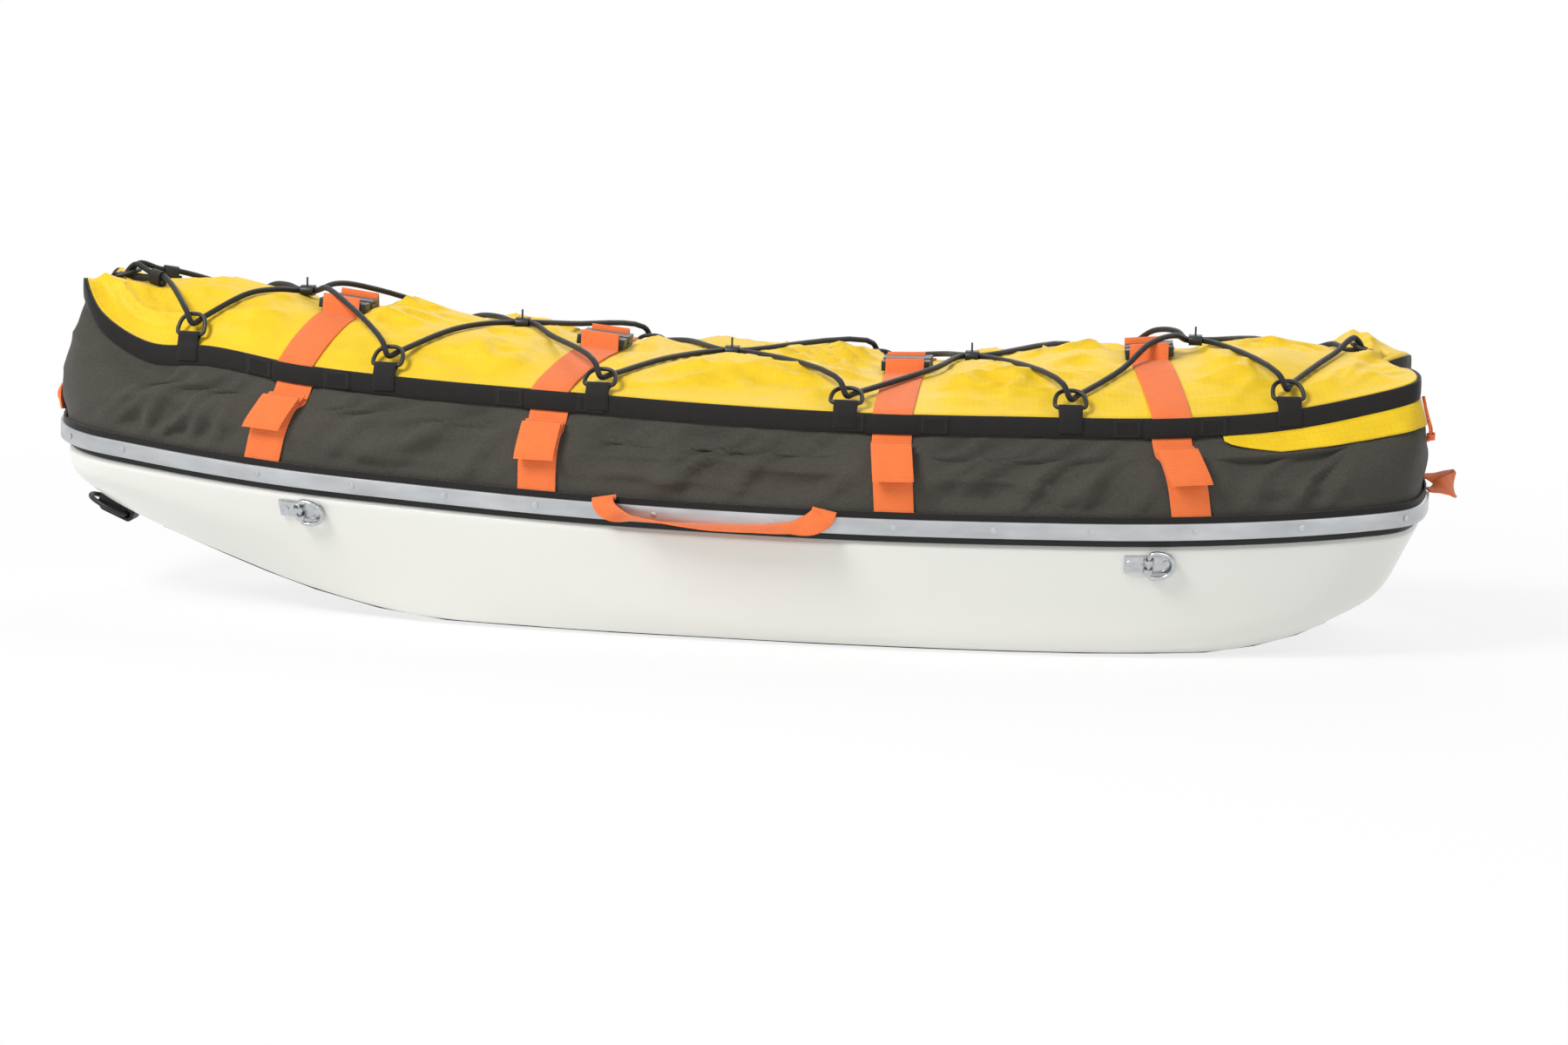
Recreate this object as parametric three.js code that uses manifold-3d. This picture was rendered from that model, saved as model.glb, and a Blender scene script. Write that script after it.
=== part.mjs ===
// Pulk sled with its load bag closed: a moulded hull, a fabric bag clamped under a rail and laced shut.
// The bow points along -X, the left side lies at -Y, and the runners stand on z = 0.
import * as THREE from 'three';
import { mergeVertices } from 'three/addons/utils/BufferGeometryUtils.js';
import Module from 'manifold-3d';

const wasm = await Module();
wasm.setup();

// Hull
const hullLength = 1429;
const hullBeam = 459;
const bowHeight = 173;
const hullWall = 4;
const rimRise = 10;
const rimStep = 4;
const rimStepHeight = 5;
const runnerWidth = 26;
const runnerThick = 3;
const runnerInset = 14;

// Rim: trim, bag foot, strap ends, hem and rail, from the hull wall outwards
const seatGap = 0.3;
const trimThick = 3;
const trimTop = 9;
const trimBottom = 16;
const clothThick = 2;
const hemThick = 1.5;
const hemHeight = 15;
const clampDepth = 7;
const railThick = 3;
const railHeight = 17;
const railEndGap = 1;
const rivetDiameter = 8;
const rivetHead = 1.6;

// Bag and cover
const bagRise = 158;
const bagBulge = 5;
const bulgeHeight = 50;
const bagPuff = 6;
const bandHeight = 20;
const bandThick = 2;
const coverRise = 60;
const coverSkirt = 12;

// Straps and buckles
const strapWidth = 40;
const strapThick = 1.5;
const strapClearance = 0.8;
const keeperSlack = 6;
const buckleClearance = 1;
const tailWidth = 48;
const tailLength = 30;
const tailThick = 11;
const buckleWidth = 50;
const buckleThick = 12;
const buckleLift = 2;
const buckleWall = 3;
const bodyLength = 37;
const tongueLength = 23;
const tongueGap = 2;
const slotLength = 4;
const guideWidth = 8;
const armWidth = 4;
const padLength = 14;
const padProud = 0.5;
const latchClearance = 0.8;

// Lashing points
const plateLength = 48;
const plateHeight = 18.5;
const plateThick = 2;
const plateDrop = 13;
const plateGap = 1;
const lashingWire = 5.5;
const lashingSpan = 34;
const lashingReach = 31;
const saddleLength = 5;
const saddleWall = 2;
const pinClearance = 0.4;
const headDiameter = 10;
const headHeight = 2;

// Tow fitting under the bow
const towLength = 42;
const towWidth = 30;
const towDepth = 20;
const towWire = 6;
const towSpan = 52;
const towReach = 48;
const towGap = 1.2;

// Lacing
const ringWire = 4.5;
const ringWidth = 36;
const ringLength = 27;
const ringTilt = THREE.MathUtils.degToRad(22);
const bowRingTilt = THREE.MathUtils.degToRad(16);
const sternRingTilt = THREE.MathUtils.degToRad(25);
const sternRingLift = 6;
const tabWidth = 24;
const tabThick = 3;
const tabRise = 9;
const footRise = 3.5;
const footDrop = 6;
const footThick = 1.4;
const cordDiameter = 6;
const cordClearance = 0.4;
const cordSides = 8;
const clipLength = 14;
const clipWall = 2;
const clipPitch = 9;
const clipTail = 9;
const crimpLength = 16;
const crimpPitch = 7.4;
const crimpWall = 1.6;

// Handles, pull cord and storm flap
const webWidth = 25;
const webThick = 2;
const sideHandleRise = 15.5;
const endHandleRise = 12;
const handleBend = 11;
const sideHandleFold = THREE.MathUtils.degToRad(60);
const sideHandleSpan = 250;
const sideHandleDrop = 24;
const sternHandleSpan = 130;
const sternHandleReach = 30;
const bowHandleSpan = 66;
const bowHandleRise = 13.5;
const bowHandleReach = 16;
const bowHandleLean = THREE.MathUtils.degToRad(75);
const pullDiameter = 4;
const pullLength = 44;
const pullPlace = 2.6;
const pullSpread = 0.09;
const knotDiameter = 10;
const flapThick = 1.2;
const flapGap = 0.6;

// Outlines from the bow centre to the stern centre, as shares of the half length, half beam and bow height
const rimShares = [
  [-1, 0, 1.049], [-0.994, 0.183, 1.029], [-0.971, 0.331, 1.009], [-0.93, 0.44, 0.986],
  [-0.857, 0.523, 0.954], [-0.757, 0.614, 0.913], [-0.618, 0.723, 0.869], [-0.437, 0.832, 0.834],
  [-0.228, 0.928, 0.799], [-0.006, 0.985, 0.777], [0.217, 1, 0.766], [0.44, 0.967, 0.768],
  [0.635, 0.898, 0.776], [0.802, 0.797, 0.804], [0.913, 0.706, 0.838], [0.971, 0.58, 0.856],
  [0.995, 0.327, 0.875], [1, 0, 0.899],
];
const chineShares = [
  [-1.001, 0, 0.751], [-0.993, 0.183, 0.753], [-0.971, 0.322, 0.747], [-0.932, 0.401, 0.723],
  [-0.868, 0.462, 0.673], [-0.763, 0.536, 0.576], [-0.621, 0.636, 0.499], [-0.437, 0.732, 0.388],
  [-0.224, 0.797, 0.229], [-0.019, 0.815, 0.099], [0.217, 0.832, 0.063], [0.44, 0.819, 0.058],
  [0.621, 0.767, 0.068], [0.774, 0.688, 0.148], [0.888, 0.593, 0.268], [0.938, 0.471, 0.329],
  [0.958, 0.261, 0.371], [0.962, 0, 0.402],
];
const bottomShares = [
  [-0.971, 0, 0.659], [-0.963, 0.087, 0.623], [-0.938, 0.148, 0.573], [-0.896, 0.192, 0.5],
  [-0.835, 0.24, 0.407], [-0.743, 0.314, 0.285], [-0.618, 0.436, 0.142], [-0.451, 0.571, 0.026],
  [-0.27, 0.662, 0.007], [-0.019, 0.732, 0.001], [0.217, 0.771, 0], [0.44, 0.758, 0],
  [0.607, 0.697, 0.004], [0.732, 0.61, 0.023], [0.838, 0.479, 0.112], [0.894, 0.34, 0.208],
  [0.913, 0.183, 0.267], [0.92, 0, 0.299],
];
// The bag's top edge, whose height is a share of the bag's rise above the rail
const bandShares = [
  [-0.949, 0, 0.891], [-0.965, 0.166, 0.921], [-0.962, 0.305, 0.981], [-0.932, 0.383, 0.806],
  [-0.857, 0.44, 0.655], [-0.754, 0.536, 0.699], [-0.615, 0.645, 0.665], [-0.434, 0.754, 0.655],
  [-0.225, 0.845, 0.66], [-0.003, 0.902, 0.645], [0.217, 0.915, 0.636], [0.437, 0.885, 0.64],
  [0.628, 0.819, 0.64], [0.788, 0.723, 0.659], [0.899, 0.636, 0.714], [0.985, 0.532, 0.796],
  [0.983, 0.305, 0.818], [0.938, 0, 0.762],
];
// Where the cover's crown lies for each place on the top edge, with its height above it as a share of the rise
const crownShares = [
  [-0.9, -0.001], [-0.897, 0.039], [-0.889, -0.027], [-0.87, 0.535], [-0.814, 1.091], [-0.716, 1.094],
  [-0.584, 1.07], [-0.412, 0.936], [-0.214, 0.789], [-0.003, 0.606], [0.206, 0.627], [0.415, 0.749],
  [0.597, 1.032], [0.745, 0.961], [0.835, 0.641], [0.872, 0.271], [0.886, 0.119], [0.891, -0.001],
];
const domeShares = [0.16, 0.33, 0.62];
// Strap places along the hull at the rail, at the band and at the buckle
const strapShares = [
  [-0.662, -0.62, -0.6], [-0.247, -0.236, -0.2], [0.263, 0.255, 0.264], [0.676, 0.645, 0.628],
];
// How far a strap has moved from its rail place to its band place at each level of the wall
const climbShares = [0, 0, 0.4, 0.7, 0.95, 1, 1];
const buckleShare = 0.84;
const tailShare = 0.55;
const ringShares = [-0.79, -0.483, -0.167, 0.188, 0.504, 0.809];
const lashingShares = [-0.602, 0.62];
const railRivetShares = [
  -0.965, -0.88, -0.665, -0.52, -0.38, -0.246, -0.075, 0.094, 0.262, 0.402, 0.537, 0.68, 0.828, 0.965,
];
const sideHandleShare = 0.01;
const towShares = [-0.96, -0.9];
const runnerShares = [-0.87, 0.9];
const flapShare = 0.72;
const flapDepthShare = 0.8;
const pullShare = 0.3;

const halfLength = hullLength / 2;
const halfBeam = hullBeam / 2;
const keelHeight = runnerThick + seatGap;
const columns = 56;

// Closed bodies from rings of points
function bodyFrom(points, faces) {
  let volume = 0;
  for (const [a, b, c] of faces) {
    volume += points[a].dot(new THREE.Vector3().crossVectors(points[b], points[c]));
  }
  const index = faces.flatMap(([a, b, c]) => (volume > 0 ? [a, b, c] : [a, c, b]));
  const geometry = new THREE.BufferGeometry().setFromPoints(points);
  geometry.setIndex(index);
  geometry.computeVertexNormals();
  return geometry;
}

function quad(faces, a, b, c, d) {
  faces.push([a, b, c], [a, c, d]);
}

// A body through sections that all have the same even number of points, folded alike on its two sides
function sweep(sections, closed = false) {
  const sides = sections[0].length;
  const faces = [];
  const last = closed ? sections.length : sections.length - 1;
  for (let i = 0; i < last; i++) {
    const here = i * sides;
    const next = ((i + 1) % sections.length) * sides;
    for (let j = 0; j < sides; j++) {
      const k = (j + 1) % sides;
      if (j < sides / 2) {
        quad(faces, here + j, next + j, next + k, here + k);
      } else {
        quad(faces, next + j, next + k, here + k, here + j);
      }
    }
  }
  if (!closed) {
    const end = (sections.length - 1) * sides;
    for (let j = 0; j < sides / 2 - 1; j++) {
      const k = sides - 1 - j;
      quad(faces, j, j + 1, k - 1, k);
      quad(faces, end + j, end + k, end + k - 1, end + j + 1);
    }
  }
  return bodyFrom(sections.flat(), faces);
}

// A shell through closed loops, whose first and last loops are bridged from left to right
function tub(loops) {
  const faces = [];
  for (let j = 0; j < loops.length - 1; j++) {
    for (let i = 0; i < columns; i++) {
      const k = (i + 1) % columns;
      quad(faces, j * columns + i, j * columns + k, (j + 1) * columns + k, (j + 1) * columns + i);
    }
  }
  bridge(faces, 0, false);
  bridge(faces, (loops.length - 1) * columns, true);
  return bodyFrom(loops.flat(), faces);
}

function bridge(faces, base, flip) {
  const side = (a, b, c) => faces.push(flip ? [a, b, c] : [a, c, b]);
  side(base, base + 1, base + columns - 1);
  for (let i = 1; i < columns / 2 - 1; i++) {
    side(base + i, base + i + 1, base + columns - i);
    side(base + i + 1, base + columns - i - 1, base + columns - i);
  }
  side(base + columns / 2 - 1, base + columns / 2, base + columns / 2 + 1);
}

function toSolid(geometry) {
  const bare = new THREE.BufferGeometry();
  bare.setAttribute('position', geometry.getAttribute('position'));
  bare.setIndex(geometry.getIndex());
  const merged = mergeVertices(bare);
  const vertProperties = new Float32Array(merged.getAttribute('position').array);
  const triVerts = new Uint32Array(merged.getIndex().array);
  return new wasm.Manifold(new wasm.Mesh({ numProp: 3, vertProperties, triVerts }));
}

function toGeometry(solid) {
  const mesh = solid.getMesh();
  const geometry = new THREE.BufferGeometry();
  geometry.setAttribute('position', new THREE.BufferAttribute(mesh.vertProperties, 3));
  geometry.setIndex(new THREE.BufferAttribute(mesh.triVerts, 1));
  geometry.computeVertexNormals();
  return geometry;
}

function join(geometries) {
  const [first, ...rest] = geometries.map(toSolid);
  return toGeometry(rest.reduce((whole, piece) => whole.add(piece), first));
}

function cut(geometry, tools) {
  return toGeometry(tools.map(toSolid).reduce((whole, tool) => whole.subtract(tool), toSolid(geometry)));
}

// A body's mirror image across the plane x = 0 or y = 0
function mirrored(geometry, axis) {
  const factors = { x: [-1, 1, 1], y: [1, -1, 1] }[axis];
  const image = geometry.clone().scale(...factors);
  const index = Array.from(geometry.getIndex().array);
  image.setIndex(index.map((_, k) => index[k - (k % 3) + [0, 2, 1][k % 3]]));
  image.computeVertexNormals();
  return image;
}

// A box between two corners
function box(x0, x1, y0, y1, z0, z1) {
  const geometry = new THREE.BoxGeometry(x1 - x0, y1 - y0, z1 - z0);
  return geometry.translate((x0 + x1) / 2, (y0 + y1) / 2, (z0 + z1) / 2);
}

// A round wire through points, open or closed
function wire(path, diameter, sides, closed = false) {
  const sections = path.map((point, i) => {
    const before = path[closed ? (i + path.length - 1) % path.length : Math.max(i - 1, 0)];
    const after = path[closed ? (i + 1) % path.length : Math.min(i + 1, path.length - 1)];
    return { point, along: after.clone().sub(before).normalize() };
  });
  const spare = new THREE.Vector3(0, 0, 1);
  let up = Math.abs(sections[0].along.z) > 0.9 ? new THREE.Vector3(0, 1, 0) : spare;
  const rings = sections.map(({ point, along }) => {
    up = up.clone().addScaledVector(along, -up.dot(along)).normalize();
    const side = new THREE.Vector3().crossVectors(along, up);
    return Array.from({ length: sides }, (_, k) => {
      const turn = (2 * Math.PI * (k + 0.5)) / sides;
      const out = up.clone().multiplyScalar(Math.cos(turn)).addScaledVector(side, Math.sin(turn));
      return point.clone().addScaledVector(out, diameter / 2);
    });
  });
  return sweep(rings, closed);
}

// Curves of the hull and bag, sampled at columns that pair left with right
function sampleLoop(shares, toPoint) {
  const left = shares.map(toPoint);
  const right = left.slice(1, -1).reverse().map((p) => new THREE.Vector3(p.x, -p.y, p.z));
  const curve = new THREE.CatmullRomCurve3([...left, ...right], true, 'centripetal');
  return Array.from({ length: columns }, (_, i) => {
    const point = curve.getPoint(i / columns);
    const along = curve.getTangent(i / columns);
    const normal = new THREE.Vector3(along.y, -along.x, 0).normalize();
    return { point, normal };
  });
}

const onHull = ([x, y, z]) => new THREE.Vector3(x * halfLength, -y * halfBeam, keelHeight + z * bowHeight);
const rimLoop = sampleLoop(rimShares, onHull);
const chineLoop = sampleLoop(chineShares, onHull);
const bottomLoop = sampleLoop(bottomShares, onHull);
for (const { point } of bottomLoop) {
  point.z = Math.max(point.z, keelHeight);
}
const bandLoop = sampleLoop(
  bandShares.map(([x, y, rise], i) => [x, y, rimShares[i][2] + (rise * bagRise) / bowHeight]),
  onHull,
);
const crownLoop = sampleLoop(
  crownShares.map(([x, lift], i) => [
    x, 0, rimShares[i][2] + (bandShares[i][2] * bagRise + lift * coverRise) / bowHeight,
  ]),
  onHull,
);

function offsetFrom(loop, i, out, rise) {
  const { point, normal } = loop[i];
  return point.clone().addScaledVector(normal, out).setZ(point.z + rise);
}

const allColumns = Array.from({ length: columns }, (_, i) => i);
const loopAt = (loop, out, rise) => allColumns.map((i) => offsetFrom(loop, i, out, rise));

// Distances out from the hull wall
const trimOut = seatGap;
const footOut = trimOut + trimThick + seatGap;
const strapOut = footOut + clothThick + strapClearance;
const hemOut = strapOut + strapThick + seatGap;
const railOut = hemOut + hemThick + seatGap;

function hullShell() {
  const outer = [
    loopAt(bottomLoop, 0, 0),
    loopAt(chineLoop, 0, 0),
    loopAt(rimLoop, rimStep, -trimBottom - rimStepHeight),
    loopAt(rimLoop, 0, -trimBottom - seatGap),
    loopAt(rimLoop, 0, rimRise),
  ];
  const inner = [
    loopAt(rimLoop, -hullWall, rimRise),
    loopAt(rimLoop, -hullWall, -trimBottom - seatGap),
    loopAt(rimLoop, rimStep - hullWall, -trimBottom - rimStepHeight),
    loopAt(chineLoop, -hullWall, hullWall / 2),
    loopAt(bottomLoop, -hullWall / 2, hullWall),
  ];
  return tub([...outer, ...inner]);
}

function rimStrip(out, thick, low, high) {
  return sweep(allColumns.map((i) => stripSection(i, out, thick, low, high)), true);
}

function stripSection(i, out, thick, low, high) {
  return [
    offsetFrom(rimLoop, i, out, low),
    offsetFrom(rimLoop, i, out + thick, low),
    offsetFrom(rimLoop, i, out + thick, high),
    offsetFrom(rimLoop, i, out, high),
  ];
}

// A half rail, shortened a little at the bow and stern centres so the halves do not touch
function halfRail(side) {
  const half = Array.from({ length: columns / 2 + 1 }, (_, i) => (side < 0 ? i : (columns - i) % columns));
  const sections = half.map((i) => stripSection(i, railOut, railThick, -railHeight / 2, railHeight / 2));
  for (const end of [sections[0], sections.at(-1)]) {
    end.forEach((point) => point.setY(side * railEndGap));
  }
  return sweep(sections);
}

// Points of the bag wall at a column, from its foot under the rail up to its top edge
function bagSide(i, out) {
  const bulge = offsetFrom(rimLoop, i, footOut + bagBulge + out, bulgeHeight);
  const edge = offsetFrom(bandLoop, i, out - clothThick, -bandHeight / 2);
  const shoulder = bulge.clone().lerp(edge, 0.5).addScaledVector(rimLoop[i].normal, bagPuff);
  return [
    offsetFrom(rimLoop, i, footOut + out, -clampDepth),
    offsetFrom(rimLoop, i, footOut + out, hemHeight),
    bulge,
    shoulder,
    edge.clone().lerp(shoulder, flapDepthShare),
    edge,
    offsetFrom(bandLoop, i, out - clothThick, bandHeight / 2),
  ];
}

const bagWall = () => sweep(
  allColumns.map((i) => [...bagSide(i, clothThick), ...bagSide(i, 0).toReversed()]),
  true,
);

// The cover's outer line at a column, from the bag's top edge towards the crown
function domePoint(i, share, out) {
  const edge = offsetFrom(bandLoop, i, out, bandHeight / 2 + seatGap);
  const crown = crownLoop[i].point;
  const rise = 1 - (1 - share) ** 2;
  return new THREE.Vector3(
    THREE.MathUtils.lerp(edge.x, crown.x, share),
    THREE.MathUtils.lerp(edge.y, crown.y, share),
    THREE.MathUtils.lerp(edge.z, crown.z, rise),
  );
}

function coverShell() {
  const out = -clothThick - seatGap;
  const dome = domeShares.map((share) => allColumns.map((i) => domePoint(i, share, out)));
  const lining = domeShares.map((share) =>
    allColumns.map((i) => domePoint(i, share, out - clothThick).add(new THREE.Vector3(0, 0, -clothThick))),
  );
  return tub([
    ...dome.toReversed(),
    loopAt(bandLoop, out, bandHeight / 2 + seatGap),
    loopAt(bandLoop, out, bandHeight / 2 - coverSkirt),
    loopAt(bandLoop, out - clothThick, bandHeight / 2 - coverSkirt),
    loopAt(bandLoop, out - clothThick, bandHeight / 2 + seatGap - clothThick),
    ...lining,
  ]);
}

// Places between two columns, on the flat facets that the pieces really have
function columnAt(loop, x, side) {
  const i = loop.findIndex(({ point }, k) => point.x <= x && x <= loop[k + 1].point.x);
  const place = i + (x - loop[i].point.x) / (loop[i + 1].point.x - loop[i].point.x);
  return side < 0 ? place : columns - place;
}

function atColumn(place, pointAt) {
  const low = Math.floor(place);
  return pointAt(low % columns).clone().lerp(pointAt((low + 1) % columns), place - low);
}

function frameOf(origin, along, up) {
  const x = along.clone().normalize();
  const z = new THREE.Vector3().crossVectors(x, up).normalize();
  const y = new THREE.Vector3().crossVectors(z, x);
  return new THREE.Matrix4().makeBasis(x, y, z).setPosition(origin);
}

// The cover's outer line at a place: share 0 is the near edge, 1 the crown and 2 the far edge
function coverPoint(place, share) {
  const out = -clothThick - seatGap;
  if (share > 1) {
    return coverPoint(columns - place, 2 - share);
  }
  const stops = [0, ...domeShares];
  const level = stops.findLastIndex((stop) => stop <= share);
  const here = atColumn(place, (i) => domePoint(i, stops[level], out));
  const span = level === stops.length - 1 ? 2 - 2 * stops[level] : stops[level + 1] - stops[level];
  const next = level === stops.length - 1
    ? here.clone().setY(-here.y)
    : atColumn(place, (i) => domePoint(i, stops[level + 1], out));
  return here.lerp(next, (share - stops[level]) / span);
}

function wallLine(i, out, level) {
  const points = bagSide(i, clothThick + out);
  points[6] = offsetFrom(bandLoop, i, out, bandHeight / 2 + out);
  return points[level];
}

// A strap's section across the bag wall or cover, with its two faces at two distances out
function strapSection(place, width, pointAt) {
  const spacing = pointAt(Math.floor(place), 0).distanceTo(pointAt(Math.floor(place) + 1, 0));
  const row = (out) => [-1, 0, 1].map((k) => pointAt(place + (k * width) / 2 / spacing, out));
  return [...row(strapClearance + strapThick), ...row(strapClearance).toReversed()];
}

const wallAt = (level) => (place, out) => atColumn(place, (i) => wallLine(i, out, level));
const coverAt = (share) => (place, out) => coverPoint(place, share).add(new THREE.Vector3(0, 0, out * coverLift));
const coverLift = 1.25;
const buckleReach = (bodyLength + tongueLength + tongueGap) / 2;

function strapPlaces([rail, band, buckle], side) {
  const foot = columnAt(rimLoop, rail * halfLength, side);
  const edge = columnAt(bandLoop, band * halfLength, side);
  const upper = columnAt(bandLoop, buckle * halfLength, side);
  return { foot, edge, upper };
}

function strap(shares, side) {
  const { foot, edge, upper } = strapPlaces(shares, side);
  const sections = climbShares.map((share, level) =>
    strapSection(foot + (edge - foot) * share, strapWidth, wallAt(level)));
  const near = columnAt(bandLoop, shares[2] * halfLength, -1);
  const reach = (buckleReach + buckleClearance) / Math.abs(coverPoint(near, 0).y);
  const stops = side < 0 ? [...domeShares, buckleShare - reach] : [...domeShares, 2 - buckleShare - reach];
  for (const stop of stops) {
    sections.push(strapSection(upper, strapWidth, coverAt(stop)));
  }
  return sweep(sections);
}

function strapTail(shares) {
  const { foot, edge } = strapPlaces(shares, -1);
  const place = foot + (edge - foot) * tailShare;
  const low = wallAt(2)(place, strapClearance);
  const high = wallAt(3)(place, strapClearance);
  const along = wallAt(2)(place + 0.2, strapClearance).sub(low);
  const frame = frameOf(low.lerp(high, 0.6), along, high.clone().sub(low));
  const block = box(-tailWidth / 2, tailWidth / 2, -tailLength / 2, tailLength / 2, strapThick / 2, tailThick);
  return block.applyMatrix4(frame);
}

// The lacing band bulges out over each strap
function raisedColumns() {
  const raised = new Set();
  for (const side of [-1, 1]) {
    for (const shares of strapShares) {
      const { edge } = strapPlaces(shares, side);
      const spacing = wallAt(5)(Math.floor(edge), 0).distanceTo(wallAt(5)(Math.floor(edge) + 1, 0));
      const reach = (strapWidth / 2 + keeperSlack) / spacing;
      for (let i = Math.floor(edge - reach); i <= Math.ceil(edge + reach); i++) {
        raised.add(i);
      }
    }
  }
  return raised;
}

const raised = raisedColumns();
const bandOut = (i) => (raised.has(i) ? 2 * strapClearance + strapThick : seatGap);

function bandShell() {
  return sweep(allColumns.map((i) => [
    offsetFrom(bandLoop, i, bandOut(i), -bandHeight / 2),
    offsetFrom(bandLoop, i, bandOut(i) + bandThick, -bandHeight / 2),
    offsetFrom(bandLoop, i, bandOut(i) + bandThick, bandHeight / 2),
    offsetFrom(bandLoop, i, bandOut(i), bandHeight / 2),
  ]), true);
}

// The outline of a D shaped ring, from its straight bar at y = 0 to its round end
function ringPath(width, reach) {
  const half = [[0.8, 0], [1, 0.12], [1, 0.42], [0.84, 0.74], [0.46, 0.94]];
  const right = half.map(([x, y]) => new THREE.Vector3(x * width / 2, y * reach, 0));
  const left = right.map((p) => new THREE.Vector3(-p.x, p.y, 0)).toReversed();
  return [...right, new THREE.Vector3(0, reach, 0), ...left];
}

// A tab on the band's middle plane that carries a ring, tilted up from the horizontal
function lacingRing(place, tilt, lift) {
  const rise = bandHeight / 2 + footRise + lift;
  const at = (spot) => atColumn((spot + columns) % columns, (i) =>
    offsetFrom(bandLoop, i, bandOut(i) + bandThick / 2, rise));
  const origin = at(place);
  const along = at(place + 0.1).sub(at(place - 0.1)).setZ(0).normalize();
  const up = new THREE.Vector3(0, 0, 1);
  const inward = new THREE.Vector3(-along.y, along.x, 0);
  const slope = inward.multiplyScalar(Math.cos(tilt)).addScaledVector(up, Math.sin(tilt));
  const tabFrame = frameOf(origin, along, slope);
  const ring = wire(ringPath(ringWidth - ringWire, ringLength - ringWire), ringWire, 6, true);
  const half = tabWidth / 2;
  const tab = box(-half, half, -tabThick / 2, tabRise + ringWire / 4, -tabThick / 2, tabThick / 2);
  const reach = half / at(place + 1).distanceTo(at(place));
  const foot = sweep([place - reach, place, place + reach].map((spot) => {
    const [outer, inner] = [footThick, -footThick].map((thick) => atColumn((spot + columns) % columns, (i) =>
      offsetFrom(bandLoop, i, bandOut(i) + (bandThick + thick) / 2, rise)));
    const drop = new THREE.Vector3(0, 0, -footDrop - footRise - lift);
    return [outer, inner, inner.clone().add(drop), outer.clone().add(drop)];
  }));
  return join([
    ring.translate(0, tabRise, 0).applyMatrix4(tabFrame),
    tab.applyMatrix4(tabFrame),
    foot,
  ]);
}

function domeSlope(place) {
  const [edge, next] = [coverPoint(place, 0), coverPoint(place, domeShares[0])];
  return Math.atan2(next.z - edge.z, Math.hypot(next.x - edge.x, next.y - edge.y));
}

function lacingBand() {
  const rings = [];
  for (const side of [-1, 1]) {
    for (const share of ringShares) {
      const place = columnAt(bandLoop, share * halfLength, side);
      rings.push(lacingRing(place, domeSlope(place) + ringTilt, 0));
    }
  }
  rings.push(lacingRing(0, bowRingTilt, 0), lacingRing(columns / 2, sternRingTilt, sternRingLift));
  return join([bandShell(), ...rings]);
}

// A buckle across its strap: x along the hull, y from the left towards the crown, z up
function buckleFrame(shares) {
  const place = columnAt(bandLoop, shares[2] * halfLength, -1);
  const centre = coverPoint(place, buckleShare);
  const up = coverPoint(place, 1).sub(centre).normalize();
  const along = coverPoint(place + 0.2, buckleShare).sub(centre).normalize();
  const normal = new THREE.Vector3().crossVectors(along, up).normalize();
  const across = new THREE.Vector3().crossVectors(normal, along);
  return new THREE.Matrix4().makeBasis(along, across, normal)
    .setPosition(centre.addScaledVector(normal, buckleLift));
}

const bodyStart = buckleReach - bodyLength;
const tongueEnd = -buckleReach + tongueLength;
const cavityHalf = buckleWidth / 2 - 2 * buckleWall;
const windowEnd = bodyStart + buckleWall + padLength + 2 * latchClearance;

function buckleBody() {
  const half = buckleWidth / 2;
  const [low, high] = [buckleWall, buckleThick - buckleWall];
  const over = buckleWall;
  const slotEnd = buckleReach - buckleWall;
  return cut(box(-half, half, bodyStart, buckleReach, 0, buckleThick), [
    box(-cavityHalf, cavityHalf, bodyStart - over, windowEnd, low, high),
    box(-half - over, half + over, bodyStart + buckleWall, windowEnd, low, high),
    box(-strapWidth / 2, strapWidth / 2, slotEnd - slotLength, slotEnd, -over, buckleThick + over),
  ]);
}

function buckleTongue() {
  const half = buckleWidth / 2;
  const over = buckleWall;
  const start = -buckleReach;
  const slots = [start + buckleWall, tongueEnd - buckleWall - slotLength].map((y) =>
    box(-strapWidth / 2, strapWidth / 2, y, y + slotLength, -over, buckleThick + over));
  const base = cut(box(-half, half, start, tongueEnd, buckleWall / 3, buckleThick - buckleWall / 3), slots);
  const [low, high] = [buckleWall + latchClearance, buckleThick - buckleWall - latchClearance];
  const guide = box(-guideWidth / 2, guideWidth / 2, tongueEnd - buckleWall / 2, windowEnd - buckleWall, low, high);
  return join([base, guide]);
}

function buckleLatch(side) {
  const [low, high] = [buckleWall + latchClearance, buckleThick - buckleWall - latchClearance];
  const inner = cavityHalf - latchClearance - armWidth;
  const outer = buckleWidth / 2 + padProud;
  const padStart = bodyStart + buckleWall + latchClearance;
  const arm = box(inner, inner + armWidth, tongueEnd + seatGap, padStart + armWidth, low, high);
  const pad = box(inner, outer, padStart, padStart + padLength, low, high);
  const latch = join([arm, pad]);
  return side < 0 ? mirrored(latch, 'x') : latch;
}

// Rivet heads on the rail's flat outer face
function rivets() {
  const face = (place) => atColumn(place, (i) => offsetFrom(rimLoop, i, railOut + railThick, 0));
  return railRivetShares.map((share) => {
    const place = columnAt(rimLoop, share * halfLength, -1);
    const along = face(Math.floor(place) + 1).sub(face(Math.floor(place)));
    const head = new THREE.CylinderGeometry(rivetDiameter / 2, rivetDiameter / 2, rivetHead, 8);
    head.rotateX(Math.PI / 2).translate(0, 0, rivetHead / 4);
    return head.applyMatrix4(frameOf(face(place), along, new THREE.Vector3(0, 0, 1)));
  });
}

const rivetedRail = join([halfRail(-1), ...rivets()]);

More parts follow.
